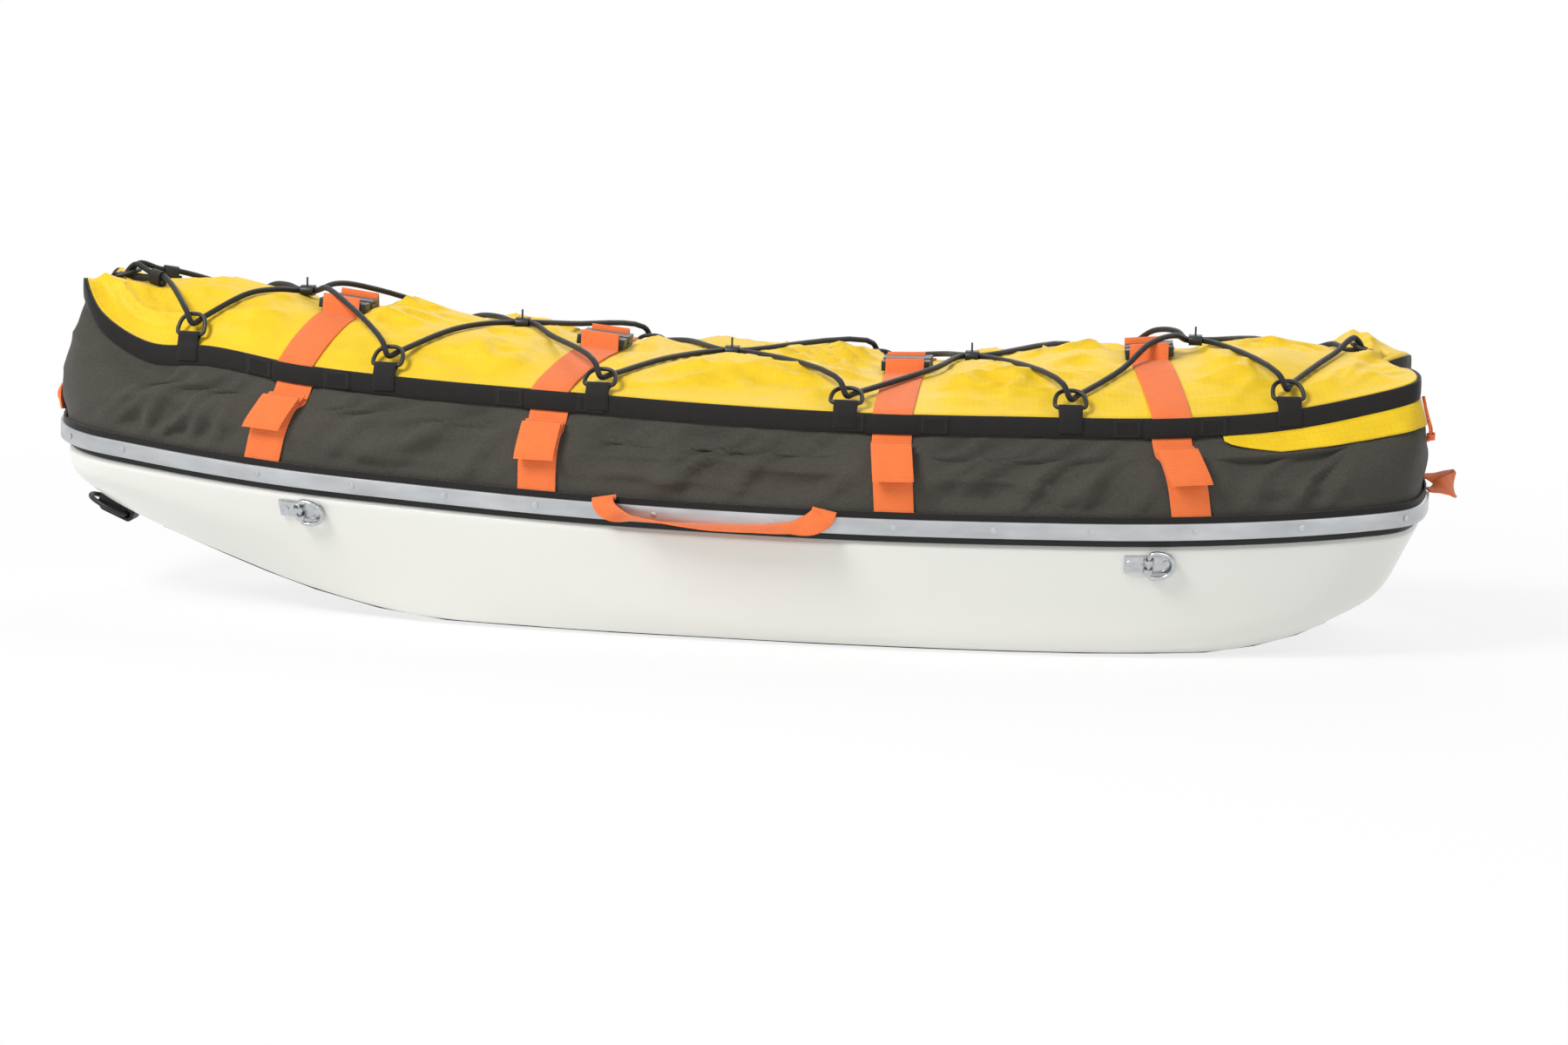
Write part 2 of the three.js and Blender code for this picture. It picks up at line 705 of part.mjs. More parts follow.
// A runner under the flat of the hull's bottom
function runner() {
  const [bow, stern] = runnerShares.map((share) => share * halfLength);
  const under = bottomLoop.slice(0, columns / 2).filter(({ point }) => point.x > bow && point.x < stern);
  return sweep(under.filter(({ point }) => -point.y > runnerInset + runnerWidth).map(({ point }) => {
    const outer = point.y + runnerInset;
    const top = point.z - seatGap;
    return [
      new THREE.Vector3(point.x, outer, top),
      new THREE.Vector3(point.x, outer + runnerWidth, top),
      new THREE.Vector3(point.x, outer + runnerWidth, top - runnerThick),
      new THREE.Vector3(point.x, outer, top - runnerThick),
    ];
  }));
}

// A strip of cloth that hangs below the band round the stern
function stormFlap() {
  const first = Math.ceil(columnAt(bandLoop, flapShare * halfLength, -1));
  const round = allColumns.filter((i) => i >= first && i <= columns - first);
  return sweep(round.map((i) => {
    const [, , , , tuck, edge] = bagSide(i, clothThick);
    const out = bandLoop[i].normal;
    const [top, low] = [edge, tuck].map((point) => point.clone().addScaledVector(out, flapGap));
    top.add(low.clone().sub(top).setLength(seatGap));
    return [
      low,
      low.clone().addScaledVector(out, flapThick),
      top.clone().addScaledVector(out, flapThick),
      top,
    ];
  }));
}

// A wall of a saddle over a round bar that runs along y, sitting on z = 0
function saddle(bore, height, length) {
  const outer = bore / 2 + saddleWall;
  const shape = new THREE.Shape();
  shape.moveTo(-outer, 0);
  shape.lineTo(outer, 0);
  shape.lineTo(outer, height);
  shape.absarc(0, height, outer, 0, Math.PI, false);
  const hole = new THREE.Path();
  hole.absarc(0, height, bore / 2, 0, 2 * Math.PI, true);
  shape.holes.push(hole);
  const body = new THREE.ExtrudeGeometry(shape, { depth: length, bevelEnabled: false, curveSegments: 5 });
  return mergeVertices(body.translate(0, 0, -length / 2).rotateX(Math.PI / 2));
}

// The hull's side wall below the trim
function hullWallPoint(place, drop) {
  const top = atColumn(place, (i) => offsetFrom(rimLoop, i, rimStep, -trimBottom - rimStepHeight));
  const low = atColumn(place, (i) => chineLoop[i].point);
  return top.addScaledVector(low.sub(top).normalize(), drop);
}

function lashingFrame(share) {
  const place = columnAt(rimLoop, share * halfLength, -1);
  const centre = hullWallPoint(place, plateDrop);
  const along = hullWallPoint(place + 0.2, plateDrop).sub(centre);
  return frameOf(centre, along, hullWallPoint(place, 0).sub(centre));
}

const barRise = lashingWire / 2 + pinClearance;
const lashingBore = lashingWire + 2 * pinClearance;

function lashingPlate() {
  const top = plateGap + plateThick;
  const plate = box(-plateLength / 2, plateLength / 2, -plateHeight / 2, plateHeight / 2, plateGap, top);
  const saddles = [-saddleLength, saddleLength].map((y) =>
    saddle(lashingBore, barRise + seatGap, saddleLength).translate(0, y, top - seatGap));
  const heads = [-1, 1].map((side) => {
    const head = new THREE.CylinderGeometry(headDiameter / 2, headDiameter / 2, headHeight, 8);
    return head.rotateX(Math.PI / 2).translate(side * (plateLength - headDiameter - headHeight) / 2, 0, top);
  });
  return join([plate, ...saddles, ...heads]);
}

function lashingRing() {
  const ring = wire(ringPath(lashingSpan - lashingWire, lashingReach - lashingWire), lashingWire, 8, true);
  return ring.rotateZ(-Math.PI / 2).translate(0, 0, plateGap + plateThick + barRise);
}

// Tow fitting: x runs aft along the hull's slope under the bow, z runs out from the hull
function towFrame() {
  const [bow, stern] = towShares.map((share) => {
    const place = columnAt(bottomLoop, share * halfLength, -1);
    return atColumn(place, (i) => bottomLoop[i].point).setY(0);
  });
  return frameOf(bow, stern.sub(bow), new THREE.Vector3(0, -1, 0));
}

const towBore = towWire + 2 * pinClearance;
const towPin = { x: towLength - towBore, z: towDepth - towBore };

function towBlock() {
  const nose = towDepth / 2;
  const shape = new THREE.Shape();
  shape.moveTo(0, towGap);
  shape.lineTo(towLength, towGap);
  shape.lineTo(towLength, towDepth - nose / 2);
  shape.absarc(towLength - nose / 2, towDepth - nose / 2, nose / 2, 0, Math.PI / 2, false);
  shape.absarc(nose, towDepth - nose, nose, Math.PI / 2, Math.PI, false);
  const hole = new THREE.Path();
  hole.absarc(towPin.x, towPin.z, towBore / 2, 0, 2 * Math.PI, true);
  shape.holes.push(hole);
  const body = new THREE.ExtrudeGeometry(shape, { depth: towWidth, bevelEnabled: false, curveSegments: 5 });
  return mergeVertices(body.translate(0, 0, -towWidth / 2).rotateX(Math.PI / 2));
}

function towLoop() {
  const span = towSpan - towWire;
  const loop = wire(ringPath(span, towReach), towWire, 8, true);
  return loop.rotateZ(Math.PI / 2).translate(towPin.x, 0, towPin.z);
}

// The left half of the lacing cord: a loop through the bow ring, then ring, clip, ring to the stern
const cordRoute = [
  [-612, -34, 337], [-631, -20, 340.5], [-646.5, -9, 340], [-660, -7.5, 344], [-651, -8.5, 354.5],
  [-631, -20, 340.5 + crimpPitch], [-612, -34, 337 + crimpPitch],
  [-570, -106, 318], [-562, -109, 303.5], [-551, -99, 310.5],
  [-516, -57, 331.5], [-492, -28, 334.5],
  [-473, -clipPitch / 2, 332], [-455, -clipPitch / 2, 332],
  [-441, -24, 337.5], [-420, -57, 333.5],
  [-351, -153.5, 297], [-343.5, -158.5, 282], [-333.5, -146, 286],
  [-292, -80, 303], [-262, -36, 306.5],
  [-240, -clipPitch / 2, 305], [-222, -clipPitch / 2, 305],
  [-190, -64, 299],
  [-125.5, -179.5, 285.5], [-118, -187, 271], [-108.5, -173, 272.5],
  [-64, -92, 282],
  [-15, -clipPitch / 2, 282.5], [3, -clipPitch / 2, 282.5],
  [126, -190.5, 276.5], [134, -198, 262], [142, -183, 263],
  [214, -72, 279],
  [239, -clipPitch / 2, 285.5], [257, -clipPitch / 2, 285.5],
  [350.5, -183.5, 280], [359, -188.5, 265], [366, -173, 267.5],
  [408, -108, 288.5], [436, -64, 312], [462, -22, 316],
  [472, -clipPitch / 2, 310], [490, -clipPitch / 2, 310],
  [566, -150, 293], [574.5, -152, 278.5], [579, -136, 282],
  [608, -78, 298], [626, -42, 306.5],
];
const sternTurn = [[645.5, -8, 318.5], [653, 0, 307], [639.5, 8, 304]];

function lacingCord() {
  const left = cordRoute.map((point) => new THREE.Vector3(...point));
  const turn = sternTurn.map((point) => new THREE.Vector3(...point));
  const right = left.map((point) => point.clone().setY(-point.y)).toReversed();
  return wire([...left, ...turn, ...right], cordDiameter, cordSides);
}

// A sleeve along x with two bores side by side along y
function twinSleeve(pitch, length, wall) {
  const bore = cordDiameter / 2 + cordClearance;
  const shape = new THREE.Shape();
  shape.absarc(pitch / 2, 0, bore + wall, -Math.PI / 2, Math.PI / 2, false);
  shape.absarc(-pitch / 2, 0, bore + wall, Math.PI / 2, 1.5 * Math.PI, false);
  for (const x of [-pitch / 2, pitch / 2]) {
    const hole = new THREE.Path();
    hole.absarc(x, 0, bore, 0, 2 * Math.PI, true);
    shape.holes.push(hole);
  }
  const body = new THREE.ExtrudeGeometry(shape, { depth: length, bevelEnabled: false, curveSegments: 5 });
  return mergeVertices(body.translate(0, 0, -length / 2).rotateX(Math.PI / 2).rotateZ(-Math.PI / 2));
}

// Sleeves that hold the cord's end loops, and ties that hold both its sides together
function crimp() {
  const [end, start] = cordRoute.slice(0, 2).map((point) => new THREE.Vector3(...point));
  const centre = start.clone().lerp(end, 0.5).add(new THREE.Vector3(0, 0, crimpPitch / 2));
  const sleeve = twinSleeve(crimpPitch, crimpLength, crimpWall).rotateX(Math.PI / 2);
  const along = end.sub(start).normalize();
  const side = new THREE.Vector3().crossVectors(new THREE.Vector3(0, 0, 1), along).normalize();
  const up = new THREE.Vector3().crossVectors(along, side);
  return sleeve.applyMatrix4(new THREE.Matrix4().makeBasis(along, side, up).setPosition(centre));
}

function cordTies() {
  const held = cordRoute.filter(([, y]) => y === -clipPitch / 2);
  const pairs = held.filter((_, k) => k % 2 === 0).map((start, k) => [start, held[2 * k + 1]]);
  return pairs.map(([[x0, , z], [x1]]) => {
    const sleeve = twinSleeve(clipPitch, clipLength, clipWall);
    const top = cordDiameter / 2 + cordClearance + clipWall;
    const half = clipWall / 2;
    const tail = box(-half, half, -clipPitch / 2, half - clipPitch / 2, top - half, top + clipTail);
    return join([sleeve, tail]).translate((x0 + x1) / 2, 0, z);
  });
}

// A flat web loop: x along its hinge, y out from the hinge, folded up by an angle until the bend
function handle(span, reach, fold) {
  const outlineShares = [[-0.5, 0], [-0.485, 0.44], [-0.42, 0.79], [-0.32, 0.95], [-0.18, 1], [0, 1]];
  const half = outlineShares.map(([x, y]) => new THREE.Vector2(x * span, y * reach));
  const path = [...half, ...half.slice(0, -1).reverse().map((p) => new THREE.Vector2(-p.x, p.y))];
  const folded = ({ x, y }, out) => {
    const near = Math.min(y, handleBend);
    return new THREE.Vector3(x, near * Math.cos(fold) + y - near, near * Math.sin(fold) + out);
  };
  return sweep(path.map((point, i) => {
    const before = path[Math.max(i - 1, 0)];
    const after = path[Math.min(i + 1, path.length - 1)];
    const along = i % (path.length - 1) === 0 ? new THREE.Vector2(0, i ? -1 : 1) : after.clone().sub(before);
    const across = new THREE.Vector2(-along.y, along.x).normalize().multiplyScalar(webWidth / 2);
    const [outer, inner] = [point.clone().add(across), point.clone().sub(across)];
    return [
      folded(outer, -webThick / 2),
      folded(inner, -webThick / 2),
      folded(inner, webThick / 2),
      folded(outer, webThick / 2),
    ];
  }));
}

const hingeOut = hemOut + hemThick + 2.5 * seatGap + webThick / 2;

// A frame at the middle of a handle's hinge: z is out from the handle's face
function handleFrame(place, span, rise, reachWay) {
  const at = (spot) => atColumn((spot + columns) % columns, (i) =>
    offsetFrom(rimLoop, i, hingeOut, rise));
  const half = (span - webWidth) / at(place + 1).distanceTo(at(place - 1));
  const [start, end] = [at(place - half), at(place + half)];
  return frameOf(start.clone().lerp(end, 0.5), start.sub(end), reachWay);
}

// A pull loop and its knot, hanging from the band at a corner of the stern
function pullCord() {
  const place = columns / 2 - pullPlace;
  const out = 3 * flapGap + flapThick + seatGap + pullDiameter / 2;
  const strand = (spot) => {
    const [edge, shoulder, bulge] = [5, 3, 2].map((level) =>
      atColumn(spot, (i) => bagSide(i, clothThick + out)[level]));
    const start = shoulder.clone().sub(edge).setLength(pullDiameter / 2 + seatGap).add(edge);
    const end = bulge.sub(shoulder).setLength(pullLength - shoulder.distanceTo(edge)).add(shoulder);
    return [start, shoulder, end];
  };
  const [left, right] = [strand(place - pullSpread), strand(place + pullSpread)];
  const end = left[2].clone().lerp(right[2], 0.5);
  const knot = new THREE.IcosahedronGeometry(knotDiameter / 2, 1);
  knot.translate(end.x, end.y, end.z);
  return join([wire([...left, ...right.toReversed()], pullDiameter, 6), mergeVertices(knot)]);
}

const colours = {
  gelcoat: [0xebebe6, 0.25, 0],
  aluminium: [0xb9bcbf, 0.35, 1],
  steel: [0xc8ccd0, 0.3, 1],
  blackSteel: [0x161616, 0.4, 0],
  rubber: [0x1c1b1a, 0.6, 0],
  blackWeb: [0x23201e, 0.8, 0],
  greyCloth: [0x4b4944, 0.85, 0],
  yellowCloth: [0xf2d83a, 0.7, 0],
  orangeWeb: [0xff7a45, 0.75, 0],
  blackPlastic: [0x1d1d1f, 0.4, 0],
};

const sled = new THREE.Group();

function add(name, geometry, colour) {
  const [color, roughness, metalness] = colours[colour];
  const material = new THREE.MeshStandardMaterial({ color, roughness, metalness });
  const mesh = new THREE.Mesh(geometry, material);
  mesh.name = name;
  sled.add(mesh);
  return mesh;
}

add('hull', hullShell(), 'gelcoat');
add('edge_trim', rimStrip(trimOut, trimThick, -trimBottom, trimTop), 'rubber');
add('hem_strip', rimStrip(hemOut, hemThick, -clampDepth, hemHeight), 'blackWeb');
add('rail_left', rivetedRail, 'aluminium');
add('rail_right', mirrored(rivetedRail, 'y'), 'aluminium');
add('bag_wall', bagWall(), 'greyCloth');
add('cover', coverShell(), 'yellowCloth');
add('storm_flap', stormFlap(), 'yellowCloth');
add('runner_left', runner(), 'blackPlastic');
add('runner_right', mirrored(runner(), 'y'), 'blackPlastic');
add('lacing_band', lacingBand(), 'blackWeb');
strapShares.forEach((shares, k) => {
  add(`strap_left_${k + 1}`, join([strap(shares, -1), strapTail(shares)]), 'orangeWeb');
  add(`strap_right_${k + 1}`, strap(shares, 1), 'orangeWeb');
  const frame = buckleFrame(shares);
  add(`buckle_body_${k + 1}`, buckleBody().applyMatrix4(frame), 'blackPlastic');
  add(`buckle_tongue_${k + 1}`, buckleTongue().applyMatrix4(frame), 'blackPlastic');
  add(`buckle_latch_${k + 1}_bow`, buckleLatch(-1).applyMatrix4(frame), 'blackPlastic');
  add(`buckle_latch_${k + 1}_stern`, buckleLatch(1).applyMatrix4(frame), 'blackPlastic');
});
['bow', 'stern'].forEach((end, k) => {
  const frame = lashingFrame(lashingShares[k]);
  const [plate, ring] = [lashingPlate(), lashingRing()].map((piece) => piece.applyMatrix4(frame));
  add(`lashing_plate_${end}_left`, plate, 'steel');
  add(`lashing_plate_${end}_right`, mirrored(plate, 'y'), 'steel');
  add(`lashing_ring_${end}_left`, ring, 'steel');
  add(`lashing_ring_${end}_right`, mirrored(ring, 'y'), 'steel');
});
add('tow_block', towBlock().applyMatrix4(towFrame()), 'rubber');
add('tow_loop', towLoop().applyMatrix4(towFrame()), 'blackSteel');

const down = new THREE.Vector3(0, 0, -1);
const sidePlace = columnAt(rimLoop, sideHandleShare * halfLength, -1);
const leftHandle = handle(sideHandleSpan, sideHandleDrop, sideHandleFold)
  .applyMatrix4(handleFrame(sidePlace, sideHandleSpan, sideHandleRise, down));
add('handle_left', leftHandle, 'orangeWeb');
add('handle_right', mirrored(leftHandle, 'y'), 'orangeWeb');
const lean = new THREE.Vector3(-Math.cos(bowHandleLean), 0, Math.sin(bowHandleLean));
const bowHandle = handle(bowHandleSpan, bowHandleReach, 0)
  .applyMatrix4(handleFrame(0, bowHandleSpan, bowHandleRise, lean));
add('handle_bow', bowHandle, 'orangeWeb');
const aft = new THREE.Vector3(1, 0, 0);
const sternHandle = handle(sternHandleSpan, sternHandleReach, 0)
  .applyMatrix4(handleFrame(columns / 2, sternHandleSpan, endHandleRise, aft));
add('handle_stern', sternHandle, 'orangeWeb');
add('stern_pull_cord', pullCord(), 'orangeWeb');
add('lacing_cord', lacingCord(), 'blackWeb');
add('cord_sleeve_left', crimp(), 'rubber');
add('cord_sleeve_right', mirrored(crimp(), 'y'), 'rubber');
cordTies().forEach((tie, k) => add(`cord_tie_${k + 1}`, tie, 'blackPlastic'));

const bounds = new THREE.Box3().setFromObject(sled);
sled.position.x = -(bounds.min.x + bounds.max.x) / 2;

export default sled;
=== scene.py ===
"""Pulk sled: moulds the hull, hangs the load bag, laces it shut and finishes every fitting."""

import math

import bpy
import numpy as np
from mathutils import Matrix, Vector, noise


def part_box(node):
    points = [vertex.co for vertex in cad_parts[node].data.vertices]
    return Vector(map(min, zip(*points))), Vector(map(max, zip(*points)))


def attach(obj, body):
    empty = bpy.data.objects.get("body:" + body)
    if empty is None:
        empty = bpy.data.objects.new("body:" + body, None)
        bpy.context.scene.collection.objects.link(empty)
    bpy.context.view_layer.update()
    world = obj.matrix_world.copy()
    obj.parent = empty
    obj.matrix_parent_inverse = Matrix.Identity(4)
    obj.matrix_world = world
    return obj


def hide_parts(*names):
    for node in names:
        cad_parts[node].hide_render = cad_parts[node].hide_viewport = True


bl_info = {
    "name": "Pulk Sled",
    "version": (1, 0, 0),
    "blender": (4, 5, 0),
    "location": "View3D > Sidebar > Sled",
    "description": "Builds the hull, load bag, webbing and lacing of a pulk sled on its frame",
    "category": "Object",
}

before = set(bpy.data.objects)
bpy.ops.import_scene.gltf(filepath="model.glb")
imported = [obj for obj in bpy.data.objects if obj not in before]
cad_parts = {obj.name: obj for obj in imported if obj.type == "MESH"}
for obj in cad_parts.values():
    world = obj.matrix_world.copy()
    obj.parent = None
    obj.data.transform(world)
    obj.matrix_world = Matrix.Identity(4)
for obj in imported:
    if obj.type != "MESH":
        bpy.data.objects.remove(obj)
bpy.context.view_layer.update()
MM = 0.001

# Outlines of the left side, from the bow centre to the stern centre. Each point gives its place along the
# sled and out from its middle plane as shares of the half length and half beam. The third number is a
# height as a share of the bow's height, in BAND a rise over the rim as a share of the bag's.
RIM = [
    (-1, 0, 1.049), (-0.994, 0.183, 1.029), (-0.971, 0.331, 1.009), (-0.93, 0.44, 0.986),
    (-0.857, 0.523, 0.954), (-0.757, 0.614, 0.913), (-0.618, 0.723, 0.869), (-0.437, 0.832, 0.834),
    (-0.228, 0.928, 0.799), (-0.006, 0.985, 0.777), (0.217, 1, 0.766), (0.44, 0.967, 0.768),
    (0.635, 0.898, 0.776), (0.802, 0.797, 0.804), (0.913, 0.706, 0.838), (0.971, 0.58, 0.856),
    (0.995, 0.327, 0.875), (1, 0, 0.899),
]
CHINE = [
    (-1.001, 0, 0.751), (-0.993, 0.183, 0.753), (-0.971, 0.322, 0.747), (-0.932, 0.401, 0.723),
    (-0.868, 0.462, 0.673), (-0.763, 0.536, 0.576), (-0.621, 0.636, 0.499), (-0.437, 0.732, 0.388),
    (-0.224, 0.797, 0.229), (-0.019, 0.815, 0.099), (0.217, 0.832, 0.063), (0.44, 0.819, 0.058),
    (0.621, 0.767, 0.068), (0.774, 0.688, 0.148), (0.888, 0.593, 0.268), (0.938, 0.471, 0.329),
    (0.958, 0.261, 0.371), (0.962, 0, 0.402),
]
BOTTOM = [
    (-0.971, 0, 0.659), (-0.963, 0.087, 0.623), (-0.938, 0.148, 0.573), (-0.896, 0.192, 0.5),
    (-0.835, 0.24, 0.407), (-0.743, 0.314, 0.285), (-0.618, 0.436, 0.142), (-0.451, 0.571, 0.026),
    (-0.27, 0.662, 0.007), (-0.019, 0.732, 0.001), (0.217, 0.771, 0), (0.44, 0.758, 0),
    (0.607, 0.697, 0.004), (0.732, 0.61, 0.023), (0.838, 0.479, 0.112), (0.894, 0.34, 0.208),
    (0.913, 0.183, 0.267), (0.92, 0, 0.299),
]
BAND = [
    (-0.949, 0, 0.891), (-0.965, 0.166, 0.921), (-0.962, 0.305, 0.981), (-0.932, 0.383, 0.806),
    (-0.857, 0.44, 0.655), (-0.754, 0.536, 0.699), (-0.615, 0.645, 0.665), (-0.434, 0.754, 0.655),
    (-0.225, 0.845, 0.66), (-0.003, 0.902, 0.645), (0.217, 0.915, 0.636), (0.437, 0.885, 0.64),
    (0.628, 0.819, 0.64), (0.788, 0.723, 0.659), (0.899, 0.636, 0.714), (0.985, 0.532, 0.796),
    (0.983, 0.305, 0.818), (0.938, 0, 0.762),
]
# The cover's middle line: place along the sled, and rise over the band as a share of the cover's
CROWN = [
    (-0.9, -0.001), (-0.897, 0.039), (-0.889, -0.027), (-0.87, 0.535), (-0.814, 1.091), (-0.716, 1.094),
    (-0.584, 1.07), (-0.412, 0.936), (-0.214, 0.789), (-0.003, 0.606), (0.206, 0.627), (0.415, 0.749),
    (0.597, 1.032), (0.745, 0.961), (0.835, 0.641), (0.872, 0.271), (0.886, 0.119), (0.891, -0.001),
]

# Driving sizes in millimetres; the whole sled is shifted along X to stand over the middle of its box
HALF_LENGTH, HALF_BEAM, BOW_HEIGHT, KEEL = 714.5, 229.5, 173.0, 3.3
BAG_RISE, COVER_RISE, SHIFT = 158.0, 60.0, -16.92

# Places round the rim at which every row has a point
COLUMNS = 640

# Distances out from the rim line or the band line, in millimetres
TRIM_OUT, TRIM_THICK = 0.3, 3.0
FOOT_OUT = 3.6
HEM_OUT, HEM_THICK = 8.2, 1.5
RAIL_OUT, RAIL_THICK, RAIL_HALF = 10.0, 3.0, 8.5
HINGE_OUT = 11.0
COVER_OUT = -2.3

# Heights from the rim line: the hull's step and top, the trim, the hem and the bag's fullest part
STEP_LOW, STEP_HIGH, HULL_TOP = -21, -16.3, 10
TRIM_LOW, TRIM_HIGH = -16, 9
HEM_LOW, HEM_HIGH = -7, 15
BULGE_HEIGHT = 50

# Thicknesses and other small sizes
HULL_THICK, RIM_STEP, CLOTH, BAND_HALF = 4, 4.0, 2.0, 10.0
BAG_SHEET, COVER_SHEET, PATCH_SHEET, TAB_SHEET, BAND_SHEET = 1.2, 0.9, 1.0, 1.1, 1.9

# Places along the sled as shares of the half length: each strap's at the rail, at the band and at its
# buckle, with how far it has moved from the first to the second at each level up the bag wall
STRAPS = [(-0.662, -0.62, -0.6), (-0.247, -0.236, -0.2), (0.263, 0.255, 0.264), (0.676, 0.645, 0.628)]
CLIMB = [0, 0, 0.4, 0.7, 0.95, 1, 1]

# The same for the lacing rings of one side and the rail's rivets
RINGS = [-0.79, -0.483, -0.167, 0.188, 0.504, 0.809]
RIVETS = [-0.965, -0.88, -0.665, -0.52, -0.38, -0.246, -0.075, 0.094, 0.262, 0.402, 0.537, 0.68, 0.828, 0.965]

# The left half of the lacing cord in millimetres, before the whole sled is shifted to its middle
CORD = [
    (-612, -34, 337), (-631, -20, 340.5), (-646.5, -9, 340), (-660, -7.5, 344), (-651, -8.5, 354.5),
    (-631, -20, 347.9), (-612, -34, 344.4), (-570, -106, 318), (-562, -109, 303.5), (-551, -99, 310.5),
    (-516, -57, 331.5), (-492, -28, 334.5), (-473, -4.5, 332), (-455, -4.5, 332), (-441, -24, 337.5),
    (-420, -57, 333.5), (-351, -153.5, 297), (-343.5, -158.5, 282), (-333.5, -146, 286), (-292, -80, 303),
    (-262, -36, 306.5), (-240, -4.5, 305), (-222, -4.5, 305), (-190, -64, 299), (-125.5, -179.5, 285.5),
    (-118, -187, 271), (-108.5, -173, 272.5), (-64, -92, 282), (-15, -4.5, 282.5), (3, -4.5, 282.5),
    (126, -190.5, 276.5), (134, -198, 262), (142, -183, 263), (214, -72, 279), (239, -4.5, 285.5),
    (257, -4.5, 285.5), (350.5, -183.5, 280), (359, -188.5, 265), (366, -173, 267.5), (408, -108, 288.5),
    (436, -64, 312), (462, -22, 316), (472, -4.5, 310), (490, -4.5, 310), (566, -150, 293),
    (574.5, -152, 278.5), (579, -136, 282), (608, -78, 298), (626, -42, 306.5),
]

# Its turn through the stern ring, up one side and down the other
STERN_TURN = [(645.5, -8, 318.5), (653, 0, 307), (639.5, 8, 304)]

# Lengths of the handles along their hinges, with the webbing that they are laid out for, and the hinges'
# heights from the rim line
SIDE_SPAN, STERN_SPAN, BOW_SPAN, WEB_WIDTH, WEB_THICK = 250, 130, 66, 25, 2.0
SIDE_RISE, STERN_RISE, BOW_RISE, BOW_LEAN = 15.5, 12, 13.5, math.radians(75)

# The level up the bag wall where a strap dives under the band
STRAP_DIVE = 4.6

# The stern's pull cord, its half gap in columns and the turns of its knot
PULL_DIAMETER, PULL_HALF_GAP, PULL_TURNS = 3.4, 0.72, 2.6

# The panel's sizes in metres and its colours: key, name, use and value
SIZES = (
    ("strap_width", "Strap width", "Width of the load straps", 0.04),
    ("strap_thick", "Strap thickness", "Thickness of the strap webbing", 0.0015),
    ("web_width", "Handle width", "Width of the handle webbing", 0.025),
    ("cord_diameter", "Cord diameter", "Diameter of the lacing cord", 0.006),
    ("ring_wire", "Ring wire", "Wire diameter of the lacing rings", 0.0045),
    ("rivet_diameter", "Rivet diameter", "Head diameter of the rail rivets", 0.008),
    ("cover_folds", "Cover folds", "Height of the folds in the cover", 0.011),
    ("bag_folds", "Bag folds", "Depth of the creases in the bag wall", 0.01),
)
COLOURS = (
    ("gelcoat", "Gelcoat", "Colour of the hull", (0.93, 0.93, 0.905)),
    ("aluminium", "Aluminium", "Colour of the rails", (0.76, 0.77, 0.78)),
    ("steel", "Steel", "Colour of the rings and plates", (0.78, 0.79, 0.8)),
    ("black", "Black", "Colour of the black plastic and rubber", (0.085, 0.085, 0.09)),
    ("webbing", "Black webbing", "Colour of the black webbing", (0.11, 0.104, 0.1)),
    ("grey_cloth", "Bag cloth", "Colour of the bag wall", (0.29, 0.28, 0.255)),
    ("yellow_cloth", "Cover cloth", "Colour of the cover", (0.96, 0.8, 0.1)),
    ("orange", "Orange webbing", "Colour of the straps and handles", (1.0, 0.49, 0.26)),
)


class SledSizes(bpy.types.PropertyGroup):
    __annotations__ = {
        key: bpy.props.FloatProperty(name=name, description=use, default=value, unit="LENGTH")
        for key, name, use, value in SIZES
    }


class SledColours(bpy.types.PropertyGroup):
    __annotations__ = {
        key: bpy.props.FloatVectorProperty(name=name, description=use, subtype="COLOR_GAMMA", default=value)
        for key, name, use, value in COLOURS
    }


def size_of(name):
    """A size of the panel, in millimetres."""
    return getattr(bpy.context.scene.sled_sizes, name) / MM


# Curves and surfaces of the sled


def along(points, stations, closed=False):
    """Points of a smooth curve through the given ones, at stations counted in points."""
    p = np.asarray(points, float)
    count = len(p)
    s = np.asarray(stations, float)
    i = np.floor(s).astype(int)
    if not closed:
        i = np.clip(i, 0, count - 2)
    w = (s - i)[:, None]

    def at(step):
        k = i + step
        if closed:
            return p[k % count]
        inner = p[np.clip(k, 0, count - 1)]
        before, after = (k < 0)[:, None], (k >= count)[:, None]
        return np.where(before, 2 * p[0] - p[1], np.where(after, 2 * p[-1] - p[-2], inner))

    a, b, c, d = at(-1), at(0), at(1), at(2)
    ab, bc, cd = [
        np.maximum(np.linalg.norm(v - u, axis=1, keepdims=True), 1e-6) ** 0.5 for u, v in ((a, b), (b, c), (c, d))
    ]
    leave = ((b - a) / ab - (c - a) / (ab + bc) + (c - b) / bc) * bc
    reach = ((c - b) / bc - (d - b) / (bc + cd) + (d - c) / cd) * bc
    return b + leave * w + (3 * (c - b) - 2 * leave - reach) * w**2 + (2 * (b - c) + leave + reach) * w**3


def outline(rows):
    """A closed loop round the sled with its outward normals, both in millimetres."""
    left = np.array(rows, float)
    ring = np.vstack([left, left[1:-1][::-1] * (1, -1, 1)])
    ring = ring * (HALF_LENGTH, -HALF_BEAM, BOW_HEIGHT) + (0, 0, KEEL)
    stations = np.arange(COLUMNS) / COLUMNS * len(ring)
    count = len(ring)
    ahead = along(ring, (stations + 1e-3) % count, True) - along(ring, (stations - 1e-3) % count, True)
    normal = np.stack([ahead[:, 1], -ahead[:, 0], 0 * ahead[:, 0]], 1)
    return along(ring, stations, True), normal / np.linalg.norm(normal, axis=1, keepdims=True)


